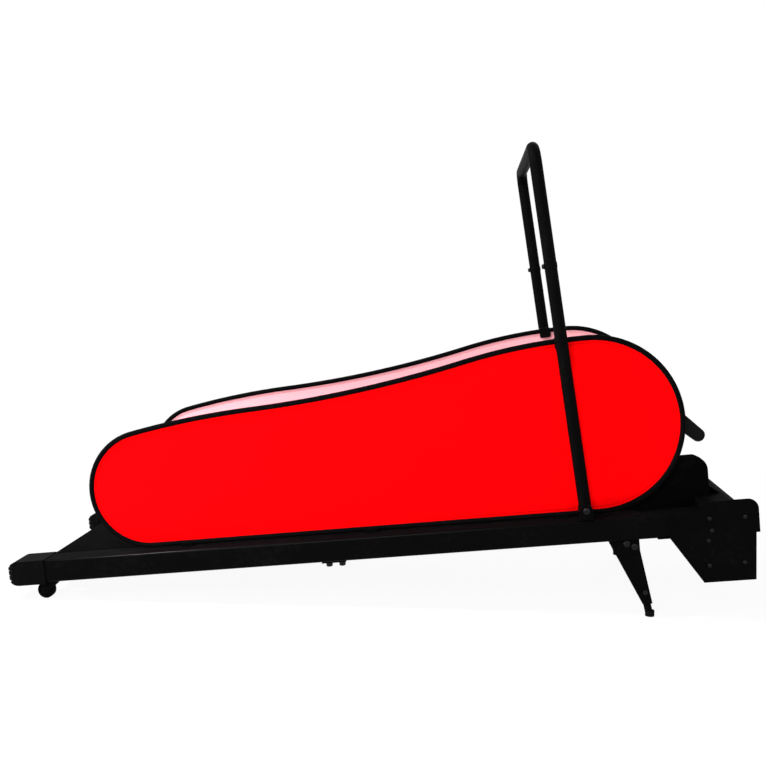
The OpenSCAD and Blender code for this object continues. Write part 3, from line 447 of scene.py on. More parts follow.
@dataclass(frozen=True)
class Finish:
    """A surface finish: its name, its colour and how it shines.

    Attributes:
        name: The material's name.
        colour: The main colour, as linear red, green and blue.
        roughness: The shine, from polished 0 to matt 1.
        specular: The strength of its reflections.
        metallic: 1 for bare metal.
        sheen: The strength of a cloth's sheen.
    """

    name: str
    colour: Colour
    roughness: float = 0.5
    specular: float = 0.5
    metallic: float = 0.0
    sheen: float = 0.0

    def material(self) -> bpy.types.Material:
        """The finish's material, built at its first use."""
        found = bpy.data.materials.get(self.name)
        if found:
            return found
        made = bpy.data.materials.new(self.name)
        made.use_nodes = True
        shade = Shade(made.node_tree)
        shader = made.node_tree.nodes["Principled BSDF"]
        shader.inputs["Specular IOR Level"].default_value = self.specular
        colour, rough, normal = self.looks(shade, shade.add("TexCoord").outputs["Object"])
        shade.join(shader, base_color=colour, roughness=rough, normal=normal)
        shade.join(shader, metallic=self.metallic, sheen_weight=self.sheen)
        return made

    def looks(self, shade: Shade, place: Socket) -> Looks:
        """Adds the finish's own nodes.

        Args:
            shade: The material's tree.
            place: Object coordinates, in metres in the row's frame.

        Returns:
            The colour, the roughness and the normal.
        """
        raise NotImplementedError

    def on_deck(self, shade: Shade, place: Socket) -> tuple[Socket, ...]:
        """The deck's along, across and up values for a place, up to a shift."""
        turned = shade.add("VectorRotate", rotation_type="Y_AXIS")
        return shade.parts(shade.join(turned, vector=place, angle=DECK.incline).outputs[0])

    def tinted(self, factor: float) -> Colour:
        """The colour, made lighter or darker."""
        return tuple(min(1.0, part * factor) for part in self.colour)


@dataclass(frozen=True)
class Coated(Finish):
    """Paint or moulded plastic with a grain, a drifting tone, rounded edges and a little wear.

    Attributes:
        pitch: Grains a metre.
        relief: Strength of the grain.
        worn: Share of dust.
        dust: The dusty colour.
        edge: Radius of the edges' rounding.
        rub: Share of rubbing along the edges.
        settled: Roughness under the film of dust on faces that point up.
        scuff: How much scuffs add to the roughness.
        edge_from: How far the rounded normal is turned where rubbing starts and ends, as a cosine.
        film_from: The normal's upward share where the film of dust starts and is whole.
    """

    pitch: float = 650.0
    relief: float = 0.25
    worn: float = 0.06
    dust: Colour = (0.02, 0.0195, 0.019)
    edge: float = 0.001
    rub: float = 0.35
    settled: float = 0.88
    scuff: float = 0.3
    edge_from: tuple[float, float] = (0.97, 0.8)
    film_from: tuple[float, float] = (0.85, 0.97)

    def looks(self, shade: Shade, place: Socket) -> Looks:
        """Grain, rounded edges and wear."""
        height, tone = shade.group(Groups.grain(), vector=place, pitch=self.pitch)
        dusty, scratch = shade.group(Groups.wear(), vector=place, amount=self.worn)
        rounded = shade.join(shade.add("Bevel", samples=6), radius=self.edge).outputs["Normal"]
        turned = shade.add("VectorMath", operation="DOT_PRODUCT")
        shade.set(turned.inputs[0], rounded)
        shade.set(turned.inputs[1], shade.add("NewGeometry").outputs["True Normal"])
        edge = shade.span(turned.outputs["Value"], *self.edge_from, 0.0, self.rub)
        colour = shade.blend(tone, self.tinted(0.75), self.tinted(1.3))
        colour = shade.blend(dusty, colour, self.dust)
        rough = shade.span(tone, 0.3, 0.7, self.roughness - 0.04, self.roughness + 0.05)
        scuffed = shade.math("ADD", dusty, shade.math("MULTIPLY", scratch, self.scuff))
        rough = shade.math("ADD", rough, shade.math("MULTIPLY", scuffed, self.scuff))
        film = shade.span(shade.parts(rounded)[2], *self.film_from, 0.0, self.settled)
        return (
            shade.blend(shade.math("MULTIPLY", edge, tone), colour, self.dust),
            shade.math("MAXIMUM", rough, film),
            shade.bump(height, strength=self.relief, distance=0.0003, normal=rounded),
        )


@dataclass(frozen=True)
class Machined(Finish):
    """Turned or plated metal with fine tool lines.

    Attributes:
        lines: Tool lines a metre.
    """

    metallic: float = 1.0
    lines: float = 1800.0

    def looks(self, shade: Shade, place: Socket) -> Looks:
        """Tool lines and tarnish."""
        long = self.lines * 0.05
        tool = shade.streaks(place, (long, self.lines, long), 2.0)
        tarnish, _ = shade.group(Groups.wear(), vector=place, amount=0.6)
        bright = shade.blend(tool, self.tinted(0.8), self.tinted(1.15))
        return (
            shade.blend(tarnish, bright, self.tinted(0.45)),
            shade.span(tool, 0.3, 0.7, self.roughness - 0.07, self.roughness + 0.1),
            shade.bump(tool, strength=0.12, distance=0.0002),
        )


@dataclass(frozen=True)
class PanelCloth(Finish):
    """The side panels' close weave, which reads the cloth's own seam attributes.

    Attributes:
        threads: Threads a metre.
        seam: Distance of the stitch line from the hoop's middle line.
        stitch: Length of a stitch and its gap.
        sewn: The stitch's share of that length.
        thread: Half the width of the stitch line.
    """

    threads: float = 950.0
    seam: float = 0.0135
    stitch: float = 0.0042
    sewn: float = 0.68
    thread: float = 0.0006

    def looks(self, shade: Shade, place: Socket) -> Looks:
        """Weave, stitches and painted shade along the rim."""
        along, _, up = self.on_deck(shade, place)
        height, warp = shade.group(Groups.weave(), along=along, across=up, threads=self.threads)
        edge, run = (
            shade.add("Attribute", attribute_name=name).outputs["Fac"] for name in ("edge_gap", "edge_run")
        )
        cloth = shade.blend(shade.noise(place, 5.0, 6.0), self.tinted(0.94), self.tinted(1.05))
        cloth = shade.blend(shade.math("MULTIPLY", warp, 0.18), cloth, self.tinted(0.8))
        # Painted shade: the cloth is drawn darker up to about 3 cm from the hoop's middle line, standing in
        # for shade where the pulled cloth meets the binding.
        cloth = shade.blend(shade.span(edge, 0.008, 0.03, 0.22, 0.0), cloth, self.tinted(0.55))
        off_line = shade.math("ABSOLUTE", shade.math("SUBTRACT", edge, self.seam))
        on_line = shade.math("LESS_THAN", off_line, self.thread)
        step = shade.math("FRACT", shade.math("DIVIDE", run, self.stitch))
        thread = shade.math("MULTIPLY", on_line, shade.math("LESS_THAN", step, self.sewn))
        raised = shade.math("ADD", height, shade.math("MULTIPLY", thread, 1.6))
        return (
            shade.blend(thread, cloth, self.tinted(0.42)),
            shade.span(height, 0.0, 1.0, self.roughness + 0.08, self.roughness - 0.06),
            shade.bump(raised, strength=0.3, distance=0.0004),
        )


@dataclass(frozen=True)
class BindingCloth(Finish):
    """The black sleeve over a hoop, woven along and round the tube on its UV map.

    Attributes:
        length: Length of the sleeve.
        girth: Distance round it.
        threads: Threads a metre.
        lint: The colour of lint on it.
    """

    sheen: float = 0.005
    length: float = 3.5
    girth: float = 0.047
    threads: float = 1100.0
    lint: Colour = (0.015, 0.0145, 0.014)

    def looks(self, shade: Shade, place: Socket) -> Looks:
        """A rib weave with a little lint."""
        first, second, _ = shade.parts(shade.add("UVMap").outputs["UV"])
        along = shade.math("MULTIPLY", first, self.length)
        across = shade.math("MULTIPLY", second, self.girth)
        height, warp = shade.group(Groups.weave(), along=along, across=across, threads=self.threads)
        linty, _ = shade.group(Groups.wear(), vector=place, amount=0.1)
        cloth = shade.blend(warp, self.tinted(0.7), self.tinted(1.4))
        return (
            shade.blend(linty, cloth, self.lint),
            shade.span(height, 0.0, 1.0, 0.85, self.roughness),
            shade.bump(height, strength=0.35, distance=0.0004),
        )


@dataclass(frozen=True)
class TreadRubber(Finish):
    """The running belt's tread: small raised lozenges in rows, with a rubbed middle.

    Attributes:
        pitch: Lozenges a metre.
        dust: The dusty colour.
    """

    pitch: float = 210.0
    dust: Colour = (0.012, 0.0115, 0.011)

    def looks(self, shade: Shade, place: Socket) -> Looks:
        """Lozenges, dust and the walked-on middle."""
        along, across, up = self.on_deck(shade, place)
        # Round the rollers the tread runs up and down, so both ways count towards its length
        run = shade.math("ADD", along, up)
        rows, cols = (
            shade.math("SINE", shade.math("MULTIPLY", shade.math(way, run, across), self.pitch * math.pi))
            for way in ("ADD", "SUBTRACT")
        )
        lozenge = shade.span(shade.math("MULTIPLY", rows, cols), -0.1, 0.35, 0.0, 1.0)
        dusty, _ = shade.group(Groups.wear(), vector=place, amount=0.25)
        tone = shade.blend(lozenge, self.tinted(0.6), self.tinted(1.25))
        middle = shade.span(shade.math("ABSOLUTE", across), 0.02, 0.15, 0.35, 0.0)
        tone = shade.blend(middle, tone, self.tinted(1.8))
        return (
            shade.blend(dusty, tone, self.dust),
            shade.span(lozenge, 0.0, 1.0, 0.88, self.roughness),
            shade.bump(lozenge, strength=0.5, distance=0.0006),
        )


@dataclass(frozen=True)
class WheelRubber(Finish):
    """A solid wheel: a moulded hub inside a black tread, told apart by distance from the axle.

    Attributes:
        along: Place of the axle along the deck.
        up: Height of the axle above the underside of the rails.
        hub: Radius of the hub.
        hub_colour: Colour of the hub.
        dust: The dusty colour.
    """

    along: float = 0.088
    up: float = -0.0255
    hub: float = 0.012
    hub_colour: Colour = (0.0024, 0.0024, 0.0026)
    dust: Colour = (0.0026, 0.0025, 0.0024)

    def looks(self, shade: Shade, place: Socket) -> Looks:
        """Hub, tread and dust."""
        axle = DECK.matrix @ Vector((self.along, 0, self.up))
        x, _, z = shade.parts(place)
        gaps = shade.math("SUBTRACT", x, axle.x), shade.math("SUBTRACT", z, axle.z)
        squares = (shade.math("POWER", gap, 2.0) for gap in gaps)
        reach = shade.math("SQRT", shade.math("ADD", *squares))
        tyre = shade.span(reach, self.hub, self.hub + 0.0008, 0.0, 1.0)
        height, _ = shade.group(Groups.grain(), vector=place, pitch=700.0)
        dusty, _ = shade.group(Groups.wear(), vector=place, amount=0.25)
        return (
            shade.blend(dusty, shade.blend(tyre, self.hub_colour, self.colour), self.dust),
            shade.span(tyre, 0.0, 1.0, 0.42, self.roughness),
            shade.bump(height, strength=0.25, distance=0.0003),
        )


@dataclass(frozen=True)
class PressedBoard(Finish):
    """The deck board: pressed wood fibre with a waxed face."""

    def looks(self, shade: Shade, place: Socket) -> Looks:
        """Fibres and flecks."""
        fibre = shade.streaks(place, (40.0, 160.0, 400.0), 6.0)
        fleck = shade.span(shade.noise(place, 420.0, 2.0), 0.62, 0.7, 0.0, 0.5)
        tone = shade.blend(fibre, self.tinted(0.7), self.tinted(1.25))
        return (
            shade.blend(fleck, tone, self.tinted(0.35)),
            shade.span(fibre, 0.3, 0.7, self.roughness - 0.08, self.roughness + 0.1),
            shade.bump(fibre, strength=0.2, distance=0.0003),
        )


@dataclass(frozen=True)
class CircuitLaminate(Finish):
    """The console's circuit board: solder mask over copper tracks."""

    def looks(self, shade: Shade, place: Socket) -> Looks:
        """Copper tracks under the solder mask."""
        cells = shade.add("TexVoronoi", distance="MANHATTAN", feature="F1")
        shade.join(cells, vector=place, scale=130.0)
        track = shade.span(cells.outputs["Distance"], 0.42, 0.5, 0.0, 1.0)
        return (
            shade.blend(track, self.colour, self.tinted(2.4)),
            shade.span(track, 0.0, 1.0, self.roughness + 0.1, self.roughness),
            shade.bump(track, strength=0.3, distance=0.0002),
        )


class Palette:
    """Every finish on the treadmill."""

    _BLACK = (0.0012, 0.0012, 0.0014)
    _GLOSS = {"pitch": 900.0, "relief": 0.05, "worn": 0.1}
    PAINT = Coated("powder_coat_black", _BLACK, 0.55, 0.016, pitch=420.0, relief=0.1)
    PLASTIC = Coated("moulded_plastic_black", _BLACK, 0.56, 0.02, pitch=900.0, relief=0.16)
    RAIL = Coated("rail_coat_black", _BLACK, 0.2, 0.022, pitch=420.0, relief=0.03, edge=0.003)
    CAP = Coated("cap_plastic_black", _BLACK, 0.2, 0.03, pitch=900.0, relief=0.03, edge=0.0015, settled=0.76)
    COVER = Coated("textured_cover_black", _BLACK, 0.86, 0.008, pitch=650.0, relief=0.3)
    SMOOTH = Coated("console_plastic_black", (0.003, 0.003, 0.0035), 0.4, 0.06, pitch=1100.0, relief=0.1)
    MOTOR = Coated("motor_enamel_grey", (0.05, 0.052, 0.056), 0.4, 0.4, pitch=300.0, relief=0.2, worn=0.3)
    RUBBER = Coated("foot_rubber", (0.003, 0.003, 0.003), 0.8, 0.03, pitch=800.0, relief=0.4, worn=0.15)
    ROLLER = Machined("turned_steel", (0.52, 0.52, 0.53), 0.3)
    BOLT = Machined("blackened_steel", (0.018, 0.018, 0.019), 0.36, lines=900.0)
    ALLOY = Machined("milled_aluminium", (0.5, 0.5, 0.52), 0.38, lines=1200.0)
    RED_CLOTH = PanelCloth("panel_cloth_red", (0.95, 0.0003, 0.0015), 0.7, 0.01)
    # The inner face's pale pink is partly the cloth's paler back and partly painted light, standing in for
    # light that shines through the red cloth.
    PINK_CLOTH = PanelCloth("panel_cloth_inner_pink", (0.97, 0.42, 0.47), 0.7, 0.05)
    BINDING = BindingCloth("hoop_binding_black", (0.0016, 0.0016, 0.0018), 0.75, 0.012)
    BELT = TreadRubber("running_belt_rubber", (0.0014, 0.0014, 0.0016), 0.84, 0.006)
    WHEEL = WheelRubber("solid_tyre_rubber", (0.0014, 0.0014, 0.0014), 0.75, 0.012)
    BOARD = PressedBoard("deck_board_fibre", (0.26, 0.18, 0.11), 0.5)
    CIRCUIT = CircuitLaminate("circuit_laminate", (0.015, 0.1, 0.04), 0.35)
    SCREEN = Coated(
        "display_glass_black", (0.006, 0.009, 0.014), 0.08, 0.6, pitch=300.0, relief=0.01, worn=0.1
    )
    RED_PLASTIC = Coated("gloss_red", (0.45, 0.01, 0.015), 0.24, 0.5, **_GLOSS)
    GREEN_PLASTIC = Coated("gloss_green", (0.02, 0.24, 0.06), 0.24, 0.5, **_GLOSS)
    GREY_PLASTIC = Coated("gloss_grey", (0.26, 0.27, 0.29), 0.26, 0.5, **_GLOSS)
    MARK = Coated("mark_white", (0.7, 0.7, 0.7), 0.4, 0.4, pitch=900.0, relief=0.05, worn=0.15)


# Side panels


@dataclass
class Hoop:
    """The bent hoop's middle line in the deck's along and up directions.

    Attributes:
        rear: Middle and radius of the rear bend.
        front: Middle and radius of the front bend.
        crest: Radius of the crest behind the hollow, and its first and last slopes.
        turn_share: Share of the dip that sets where hollow turns to crown.
        spacing: Distance between points round the bends.
        base_points: Points along the straight base.
    """

    rear: tuple[float, float, float] = (0.39, 0.219, 0.151)
    front: tuple[float, float, float] = (1.5505, 0.288, 0.22)
    crest: tuple[float, float, float] = (2.3, math.radians(10.5), math.radians(2.4))
    turn_share: float = 0.645
    spacing: float = 0.004
    base_points: int = 280

    def bends(self) -> list[tuple[np.ndarray, float, float, float, float]]:
        """The run of bends round the hoop.

        Returns:
            Middle, radius, first and last direction, and side of each bend, anticlockwise from the front.
        """
        rear, front = np.array(self.rear[:2]), np.array(self.front[:2])
        rear_r, front_r = self.rear[2], self.front[2]
        crest_r, crest_a, dip = self.crest
        crest_at = rear + (rear_r - crest_r) * np.array((-math.sin(crest_a), math.cos(crest_a)))
        leaves = crest_at + crest_r * np.array((-math.sin(dip), math.cos(dip)))
        rise = front + (0, front_r) - leaves
        turn = 2 * math.atan(rise[1] / rise[0]) - self.turn_share * dip
        gains = np.array(
            (
                (math.sin(turn) - math.sin(dip), math.sin(turn)),
                (math.cos(dip) - math.cos(turn), 1 - math.cos(turn)),
            )
        )
        hollow_r, crown_r = np.linalg.solve(gains, rise)
        hollow = leaves + hollow_r * np.array((-math.sin(dip), math.cos(dip)))
        crown = front + (0, front_r - crown_r)
        quarter = math.pi / 2
        return [
            (front, front_r, -quarter, quarter, 1),
            (crown, crown_r, quarter, quarter + turn, 1),
            (hollow, hollow_r, turn - quarter, dip - quarter, -1),
            (crest_at, crest_r, quarter + dip, quarter + crest_a, 1),
            (rear, rear_r, quarter + crest_a, 3 * quarter, 1),
        ]

    def line(self, inset: float = 0.0) -> tuple[np.ndarray, np.ndarray]:
        """A close row of points round the hoop.

        Args:
            inset: Distance inwards from the middle line.

        Returns:
            The points, and the outward direction at each.
        """
        points, outward = [], []
        for middle, radius, first, last, side in self.bends():
            count = max(8, int(abs(last - first) * radius / self.spacing))
            for angle in np.linspace(first, last, count, endpoint=False):
                ray = np.array((math.cos(angle), math.sin(angle)))
                points.append(middle + (radius - side * inset) * ray)
                outward.append(side * ray)
        low = np.array((0.0, -1.0))
        start = np.array((self.rear[0], self.rear[1] - self.rear[2] + inset))
        end = np.array((self.front[0], self.front[1] - self.front[2] + inset))
        for share in np.linspace(0, 1, self.base_points, endpoint=False):
            points.append(start + share * (end - start))
            outward.append(low)
        return np.array(points), np.array(outward)


@dataclass
class SidePanel:
    """One fabric side panel, stretched in its bound hoop.

    Attributes:
        side: The side that it stands on.
        hoop: The hoop's middle line.
        offset: Distance of the panel from the deck's middle.
        tube: Radius of the bound hoop.
        tuck: How far the cloth reaches into the binding, from the hoop's middle line.
        thickness: Thickness of the cloth.
        columns: Cells of the cloth along it.
        rows: Cells of the cloth up it.
        segments: Cells of the binding along and round it.
    """

    side: Side
    hoop: Hoop = field(default_factory=Hoop)
    offset: float = 0.262
    tube: float = 0.0065
    tuck: float = 0.004
    thickness: float = 0.0011
    columns: int = 220
    rows: int = 56
    segments: tuple[int, int] = (480, 20)

    def build(self) -> None:
        """Makes the cloth and the binding."""
        self.cloth()
        self.binding()

    def cloth(self) -> None:
        """Makes the stretched sheet, red outside and pale pink inside, the pink partly painted light that
        shines through the cloth.
        """
        deselect()
        bpy.ops.mesh.primitive_grid_add(x_subdivisions=self.columns, y_subdivisions=self.rows, size=2)
        sheet = started(f"{self.side.label}_panel_cloth")
        grid = np.array([v.co for v in sheet.data.vertices])
        rim, _ = self.hoop.line(self.tuck)
        first, last = int(rim[:, 0].argmin()), int(rim[:, 0].argmax())
        ring = np.roll(rim, -last, axis=0)
        split = (first - last) % len(rim)
        over, under = ring[: split + 1][::-1], np.vstack((ring[split:], ring[:1]))
        low, high = over[0, 0], over[-1, 0]
        along = (low + high) / 2 + (high - low) / 2 * np.sin(grid[:, 0] * math.pi / 2)
        top = np.interp(along, over[:, 0], over[:, 1])
        bottom = np.interp(along, under[:, 0], under[:, 1])
        share = 0.5 + 0.5 * np.sin(grid[:, 1] * math.pi / 2)
        up = bottom + share * (top - bottom)
        middle, _ = self.hoop.line(0.0)
        gap, run = self._rim_measures(np.stack((along, up), 1), middle)
        bow = self._slack(along, up, gap, run)
        flat = np.stack((along, self.side.value * (self.offset + bow), up), 1)
        sheet.data.vertices.foreach_set("co", flat.ravel())
        sheet.data.update()
        for name, values in (("edge_gap", gap), ("edge_run", run)):
            kept = sheet.data.attributes.new(name, "FLOAT", "POINT")
            kept.data.foreach_set("value", values.astype(np.float32))
        edit_faces(sheet)
        bpy.ops.mesh.remove_doubles(threshold=1e-6)
        leave_edit()
        modified(sheet, "SOLIDIFY", thickness=self.thickness, offset=0.0)
        moved(sheet, DECK.matrix)
        for finish in (Palette.RED_CLOTH, Palette.PINK_CLOTH):
            sheet.data.materials.append(finish.material())
        # The faces towards the deck get the pink that is partly painted light shining through the cloth.
        edit_faces(sheet, lambda face: face.normal.y * self.side.value < 0)
        sheet.active_material_index = 1
        bpy.ops.object.material_slot_assign()
        leave_edit()
        smoothed(sheet, 50)
        settle(sheet, "frame", Palette.RED_CLOTH, [f"{self.side.label}_panel"])

    @staticmethod
    def _rim_measures(points: np.ndarray, rim: np.ndarray) -> tuple[np.ndarray, np.ndarray]:
        """Measures points against the hoop.

        Args:
            points: Places on the cloth.
            rim: Points round the hoop's middle line.

        Returns:
            The distance of each point from the hoop, and how far round the hoop it lies.
        """
        lengths = np.concatenate(([0.0], np.cumsum(np.linalg.norm(np.diff(rim, axis=0), axis=1))))
        gap, run = np.empty(len(points)), np.empty(len(points))
        batch = 1000
        for start in range(0, len(points), batch):
            part = slice(start, start + batch)
            distances = np.linalg.norm(points[part, None, :] - rim[None, :, :], axis=2)
            nearest = distances.argmin(1)
            gap[part] = distances[np.arange(len(nearest)), nearest]
            run[part] = lengths[nearest]
        return gap, run

    @staticmethod
    def _slack(along: np.ndarray, up: np.ndarray, gap: np.ndarray, run: np.ndarray) -> np.ndarray:
        """How far the stretched cloth leaves its plane: broad waves, and puckers that start at the seam."""
        wave_height, pucker_height = 0.0011, 0.00045
        pucker_pitch, pucker_fade = 0.046, 0.03
        held, loose = 0.006, 0.018
        broad = wave_height * np.sin(along * 5.1 + up * 3.0) * np.sin(up * 7.0 + 0.6)
        phase = run * 2 * math.pi / pucker_pitch + 1.2 * np.sin(run * 9.0)
        pucker = pucker_height * np.sin(phase) * np.exp(-gap / pucker_fade)
        return (broad + pucker) * np.clip((gap - held) / (loose - held), 0, 1)

    def binding(self) -> None:
        """Makes the black sleeve round the hoop, drawn to a ridge where it is sewn to the cloth."""
        deselect()
        long, round_it = self.segments
        bpy.ops.mesh.primitive_torus_add(
            major_segments=long, minor_segments=round_it, major_radius=1, minor_radius=0.25, generate_uvs=True
        )
        sleeve = started(f"{self.side.label}_hoop_binding")
        ring = np.array([v.co for v in sleeve.data.vertices])
        points, outward = self.hoop.line()
        steps = np.linalg.norm(np.roll(points, -1, axis=0) - points, axis=1)
        lengths = np.concatenate(([0.0], np.cumsum(steps)))
        reach = (np.arctan2(ring[:, 1], ring[:, 0]) / (2 * math.pi) % 1.0) * lengths[-1]
        turn = np.arctan2(ring[:, 2], np.hypot(ring[:, 0], ring[:, 1]) - 1)
        middle, ray = (
            np.stack([np.interp(reach, lengths, np.append(row, row[0])) for row in rows.T], 1)
            for rows in (points, outward)
        )
        ray /= np.linalg.norm(ray, axis=1)[:, None]
        ridge_width, ridge_height, gather_pitch = 0.42, 0.1, 0.031
        ridge = np.exp(-(((np.abs(turn) - math.pi) / ridge_width) ** 2))
        gather = 0.985 + 0.012 * np.sin(reach * 2 * math.pi / gather_pitch + np.sin(reach * 13.0))
        radius = self.tube * (gather + ridge_height * ridge)
        flat = np.empty_like(ring)
        flat[:, 0] = middle[:, 0] + ray[:, 0] * radius * np.cos(turn)
        flat[:, 1] = self.side.value * self.offset + radius * np.sin(turn)
        flat[:, 2] = middle[:, 1] + ray[:, 1] * radius * np.cos(turn)
        sleeve.data.vertices.foreach_set("co", flat.ravel())
        sleeve.data.update()
        turned_out(sleeve)
        moved(sleeve, DECK.matrix)
        smoothed(sleeve, 60)
        settle(sleeve, "frame", Palette.BINDING, [f"{self.side.label}_hoop"])


# Fasteners


@dataclass
class Fastener:
    """A screw or bolt with a domed head, made with its seat at zero and its head up.

    Attributes:
        head: Radius of the head.
        rise: Height of the head.
        shank: Radius of the shank.
        reach: Length of the shank below the seat.
        drive: The recess in the head.
        washer: Radius of a washer under the head, or zero.
        washer_height: Its height.
        step: Height of the ledge between head and washer.
        dome: Share of the head's height that its rounding and its recess take up.
    """

    head: float
    rise: float
    shank: float
    reach: float
    drive: Drive = Drive.HEX
    washer: float = 0.0
    washer_height: float = 0.002
    step: float = 0.0001
    dome: float = 0.55

    def build(self) -> Piece:
        """Makes one fastener.

        Returns:
            The fastener, at the origin.
        """
        deselect()
        seat = self.washer_height if self.washer else 0.0
        bpy.ops.mesh.primitive_cylinder_add(
            vertices=32, radius=self.head, depth=self.rise, location=(0, 0, seat + self.rise / 2)
        )
        made = started("fastener")
        edit_faces(made, lambda face: face.normal.z > 0.9)
        bpy.ops.mesh.bevel(offset=min(self.rise * self.dome, self.head * 0.4), segments=4, affect="EDGES")
        edit_faces(made, lambda face: face.normal.z < -0.9)
        if self.washer:
            extruded(-self.step)
            grow = self.washer / self.head
            bpy.ops.transform.resize(value=(grow, grow, 1))
            extruded(self.step - seat)
        foot = self.washer or self.head
        bpy.ops.mesh.inset(thickness=foot * (1 - self.shank / foot))
        extruded(-self.reach)
        leave_edit()
        self._recess(made, seat + self.rise)
        return smoothed(made, 40)

    def _recess(self, made: Piece, top: float) -> None:
        """Cuts the tool's recess into the head.

        Args:
            made: The fastener.
            top: Height of the top of its head.
        """
        hexagon = self.drive is Drive.HEX
        for wide, deep in [(0.48, 0.48)] if hexagon else [(0.85, 0.2), (0.2, 0.85)]:
            deselect()
            bpy.ops.mesh.primitive_cylinder_add(
                vertices=6 if hexagon else 4,
                radius=self.head * (1.0 if hexagon else math.sqrt(0.5)),
                depth=2 * self.rise * self.dome,
                location=(0, 0, top),
                rotation=(0, 0, 0 if hexagon else math.pi / 4),
            )
            cutter = started("recess")
            cutter.data.transform(Matrix.Diagonal((wide, deep, 1, 1)))
            modified(made, "BOOLEAN", operation="DIFFERENCE", object=cutter, solver="EXACT")
            bpy.data.objects.remove(cutter)


@dataclass
class Hardware:
    """The screws and bolts that show, with their places on the deck.

    Attributes:
        plate: Distance of the side plates' outer faces from the middle.
        screws: Side plate screws, along and up.
        leg_bolts: Bolts through a leg, along and up.
        leg: Distance of a leg's middle from the deck's middle, and half its width.
        strap_bolts: Bolts of the tie strap, along.
        strap_face: Height of the strap's underside.
        rail_middle: Distance of a rail's middle from the deck's middle.
        pivot: The posts' pivot bolts, along, up and across.
        handle_bolt: A handle bolt's height above the pivot, its place across, and its seat's distance behind
            the post's middle.
        post_lean: How far the posts lean back from square to the deck.
    """

    plate: float = 0.312
    screws: tuple[tuple[float, float], ...] = (
        (1.80656, 0.042),
        (1.89116, 0.04032),
        (1.81079, 0.01176),
        (1.80092, -0.01298),
        (1.79951, -0.07552),
        (1.88411, -0.07316),
    )
    leg_bolts: tuple[tuple[float, float], ...] = ((1.6062, -0.0105), (1.62492, -0.0195))
    leg: tuple[float, float] = (0.279, 0.016)
    strap_bolts: tuple[float, ...] = (0.851945, 0.885945)
    strap_face: float = -0.004
    rail_middle: float = 0.27
    pivot: tuple[float, float, float] = (1.5125, 0.083446, 0.3135)
    handle_bolt: tuple[float, float, float] = (0.611, 0.292, 0.0165)
    post_lean: float = math.radians(3.4)

    @staticmethod
    def outward(side: float) -> Matrix:
        """Turns a fastener's head to point away from the deck's middle."""
        return Matrix.Rotation(-side * math.pi / 2, 4, "X")

    def build(self) -> None:
        """Makes every group of fasteners."""
        sides = [side.value for side in Side]
        screw = Fastener(head=0.005, rise=0.0025, shank=0.0025, reach=0.004, drive=Drive.CROSS)
        places = [
            DECK.on(along, up, across=s * self.plate) @ self.outward(s)
            for s in sides
            for along, up in self.screws
        ]
        self._place(screw, places, "side_plate_screw_heads", "side_plate_screws")
        bolt = Fastener(head=0.0085, rise=0.004, shank=0.004, reach=0.012)
        middle, half = self.leg
        places = [
            DECK.on(along, up, across=s * (middle + way * half)) @ self.outward(s * way)
            for s in sides
            for way in (1, -1)
            for along, up in self.leg_bolts
        ]
        self._place(bolt, places, "leg_bolt_heads", "frame_bolts")
        dome = Fastener(head=0.0085, rise=0.0145, shank=0.004, reach=0.006, washer=0.01)
        down = Matrix.Rotation(math.pi, 4, "X")
        places = [
            DECK.on(along, self.strap_face, across=s * self.rail_middle) @ down
            for s in sides
            for along in self.strap_bolts
        ]
        self._place(dome, places, "strap_bolt_heads", "frame_bolts")
        along, up, across = self.pivot
        pivot = Fastener(head=0.0085, rise=0.0055, shank=0.005, reach=0.043)
        places = [DECK.on(along, up, across=s * across) @ self.outward(s) for s in sides]
        self._place(pivot, places, "pivot_bolt_heads", "post_pivot_bolts")
        height, offset, seat = self.handle_bolt
        clamp = Fastener(head=0.006, rise=0.005, shank=0.003, reach=0.013)
        post = DECK.on(along, up, -self.post_lean)
        back = Matrix.Rotation(-math.pi / 2, 4, "Y")
        places = [post @ Matrix.Translation((-seat, s * offset, height)) @ back for s in sides]
        self._place(clamp, places, "handle_bolt_heads", "handle_bolts", "arch_handle")

    @staticmethod
    def _place(
        pattern: Fastener, places: Sequence[Matrix], name: str, node: str, body: str = "frame"
    ) -> None:
        """Puts a fastener at its places and ties the group to its body.

        Args:
            pattern: The fastener.
            places: The frame of each copy.
            name: The group's name.
            node: The CAD node that it stands for.
            body: The CAD body that it rides on.
        """
        settle(copies(pattern.build(), places, name), body, Palette.BOLT, [node])


# Console


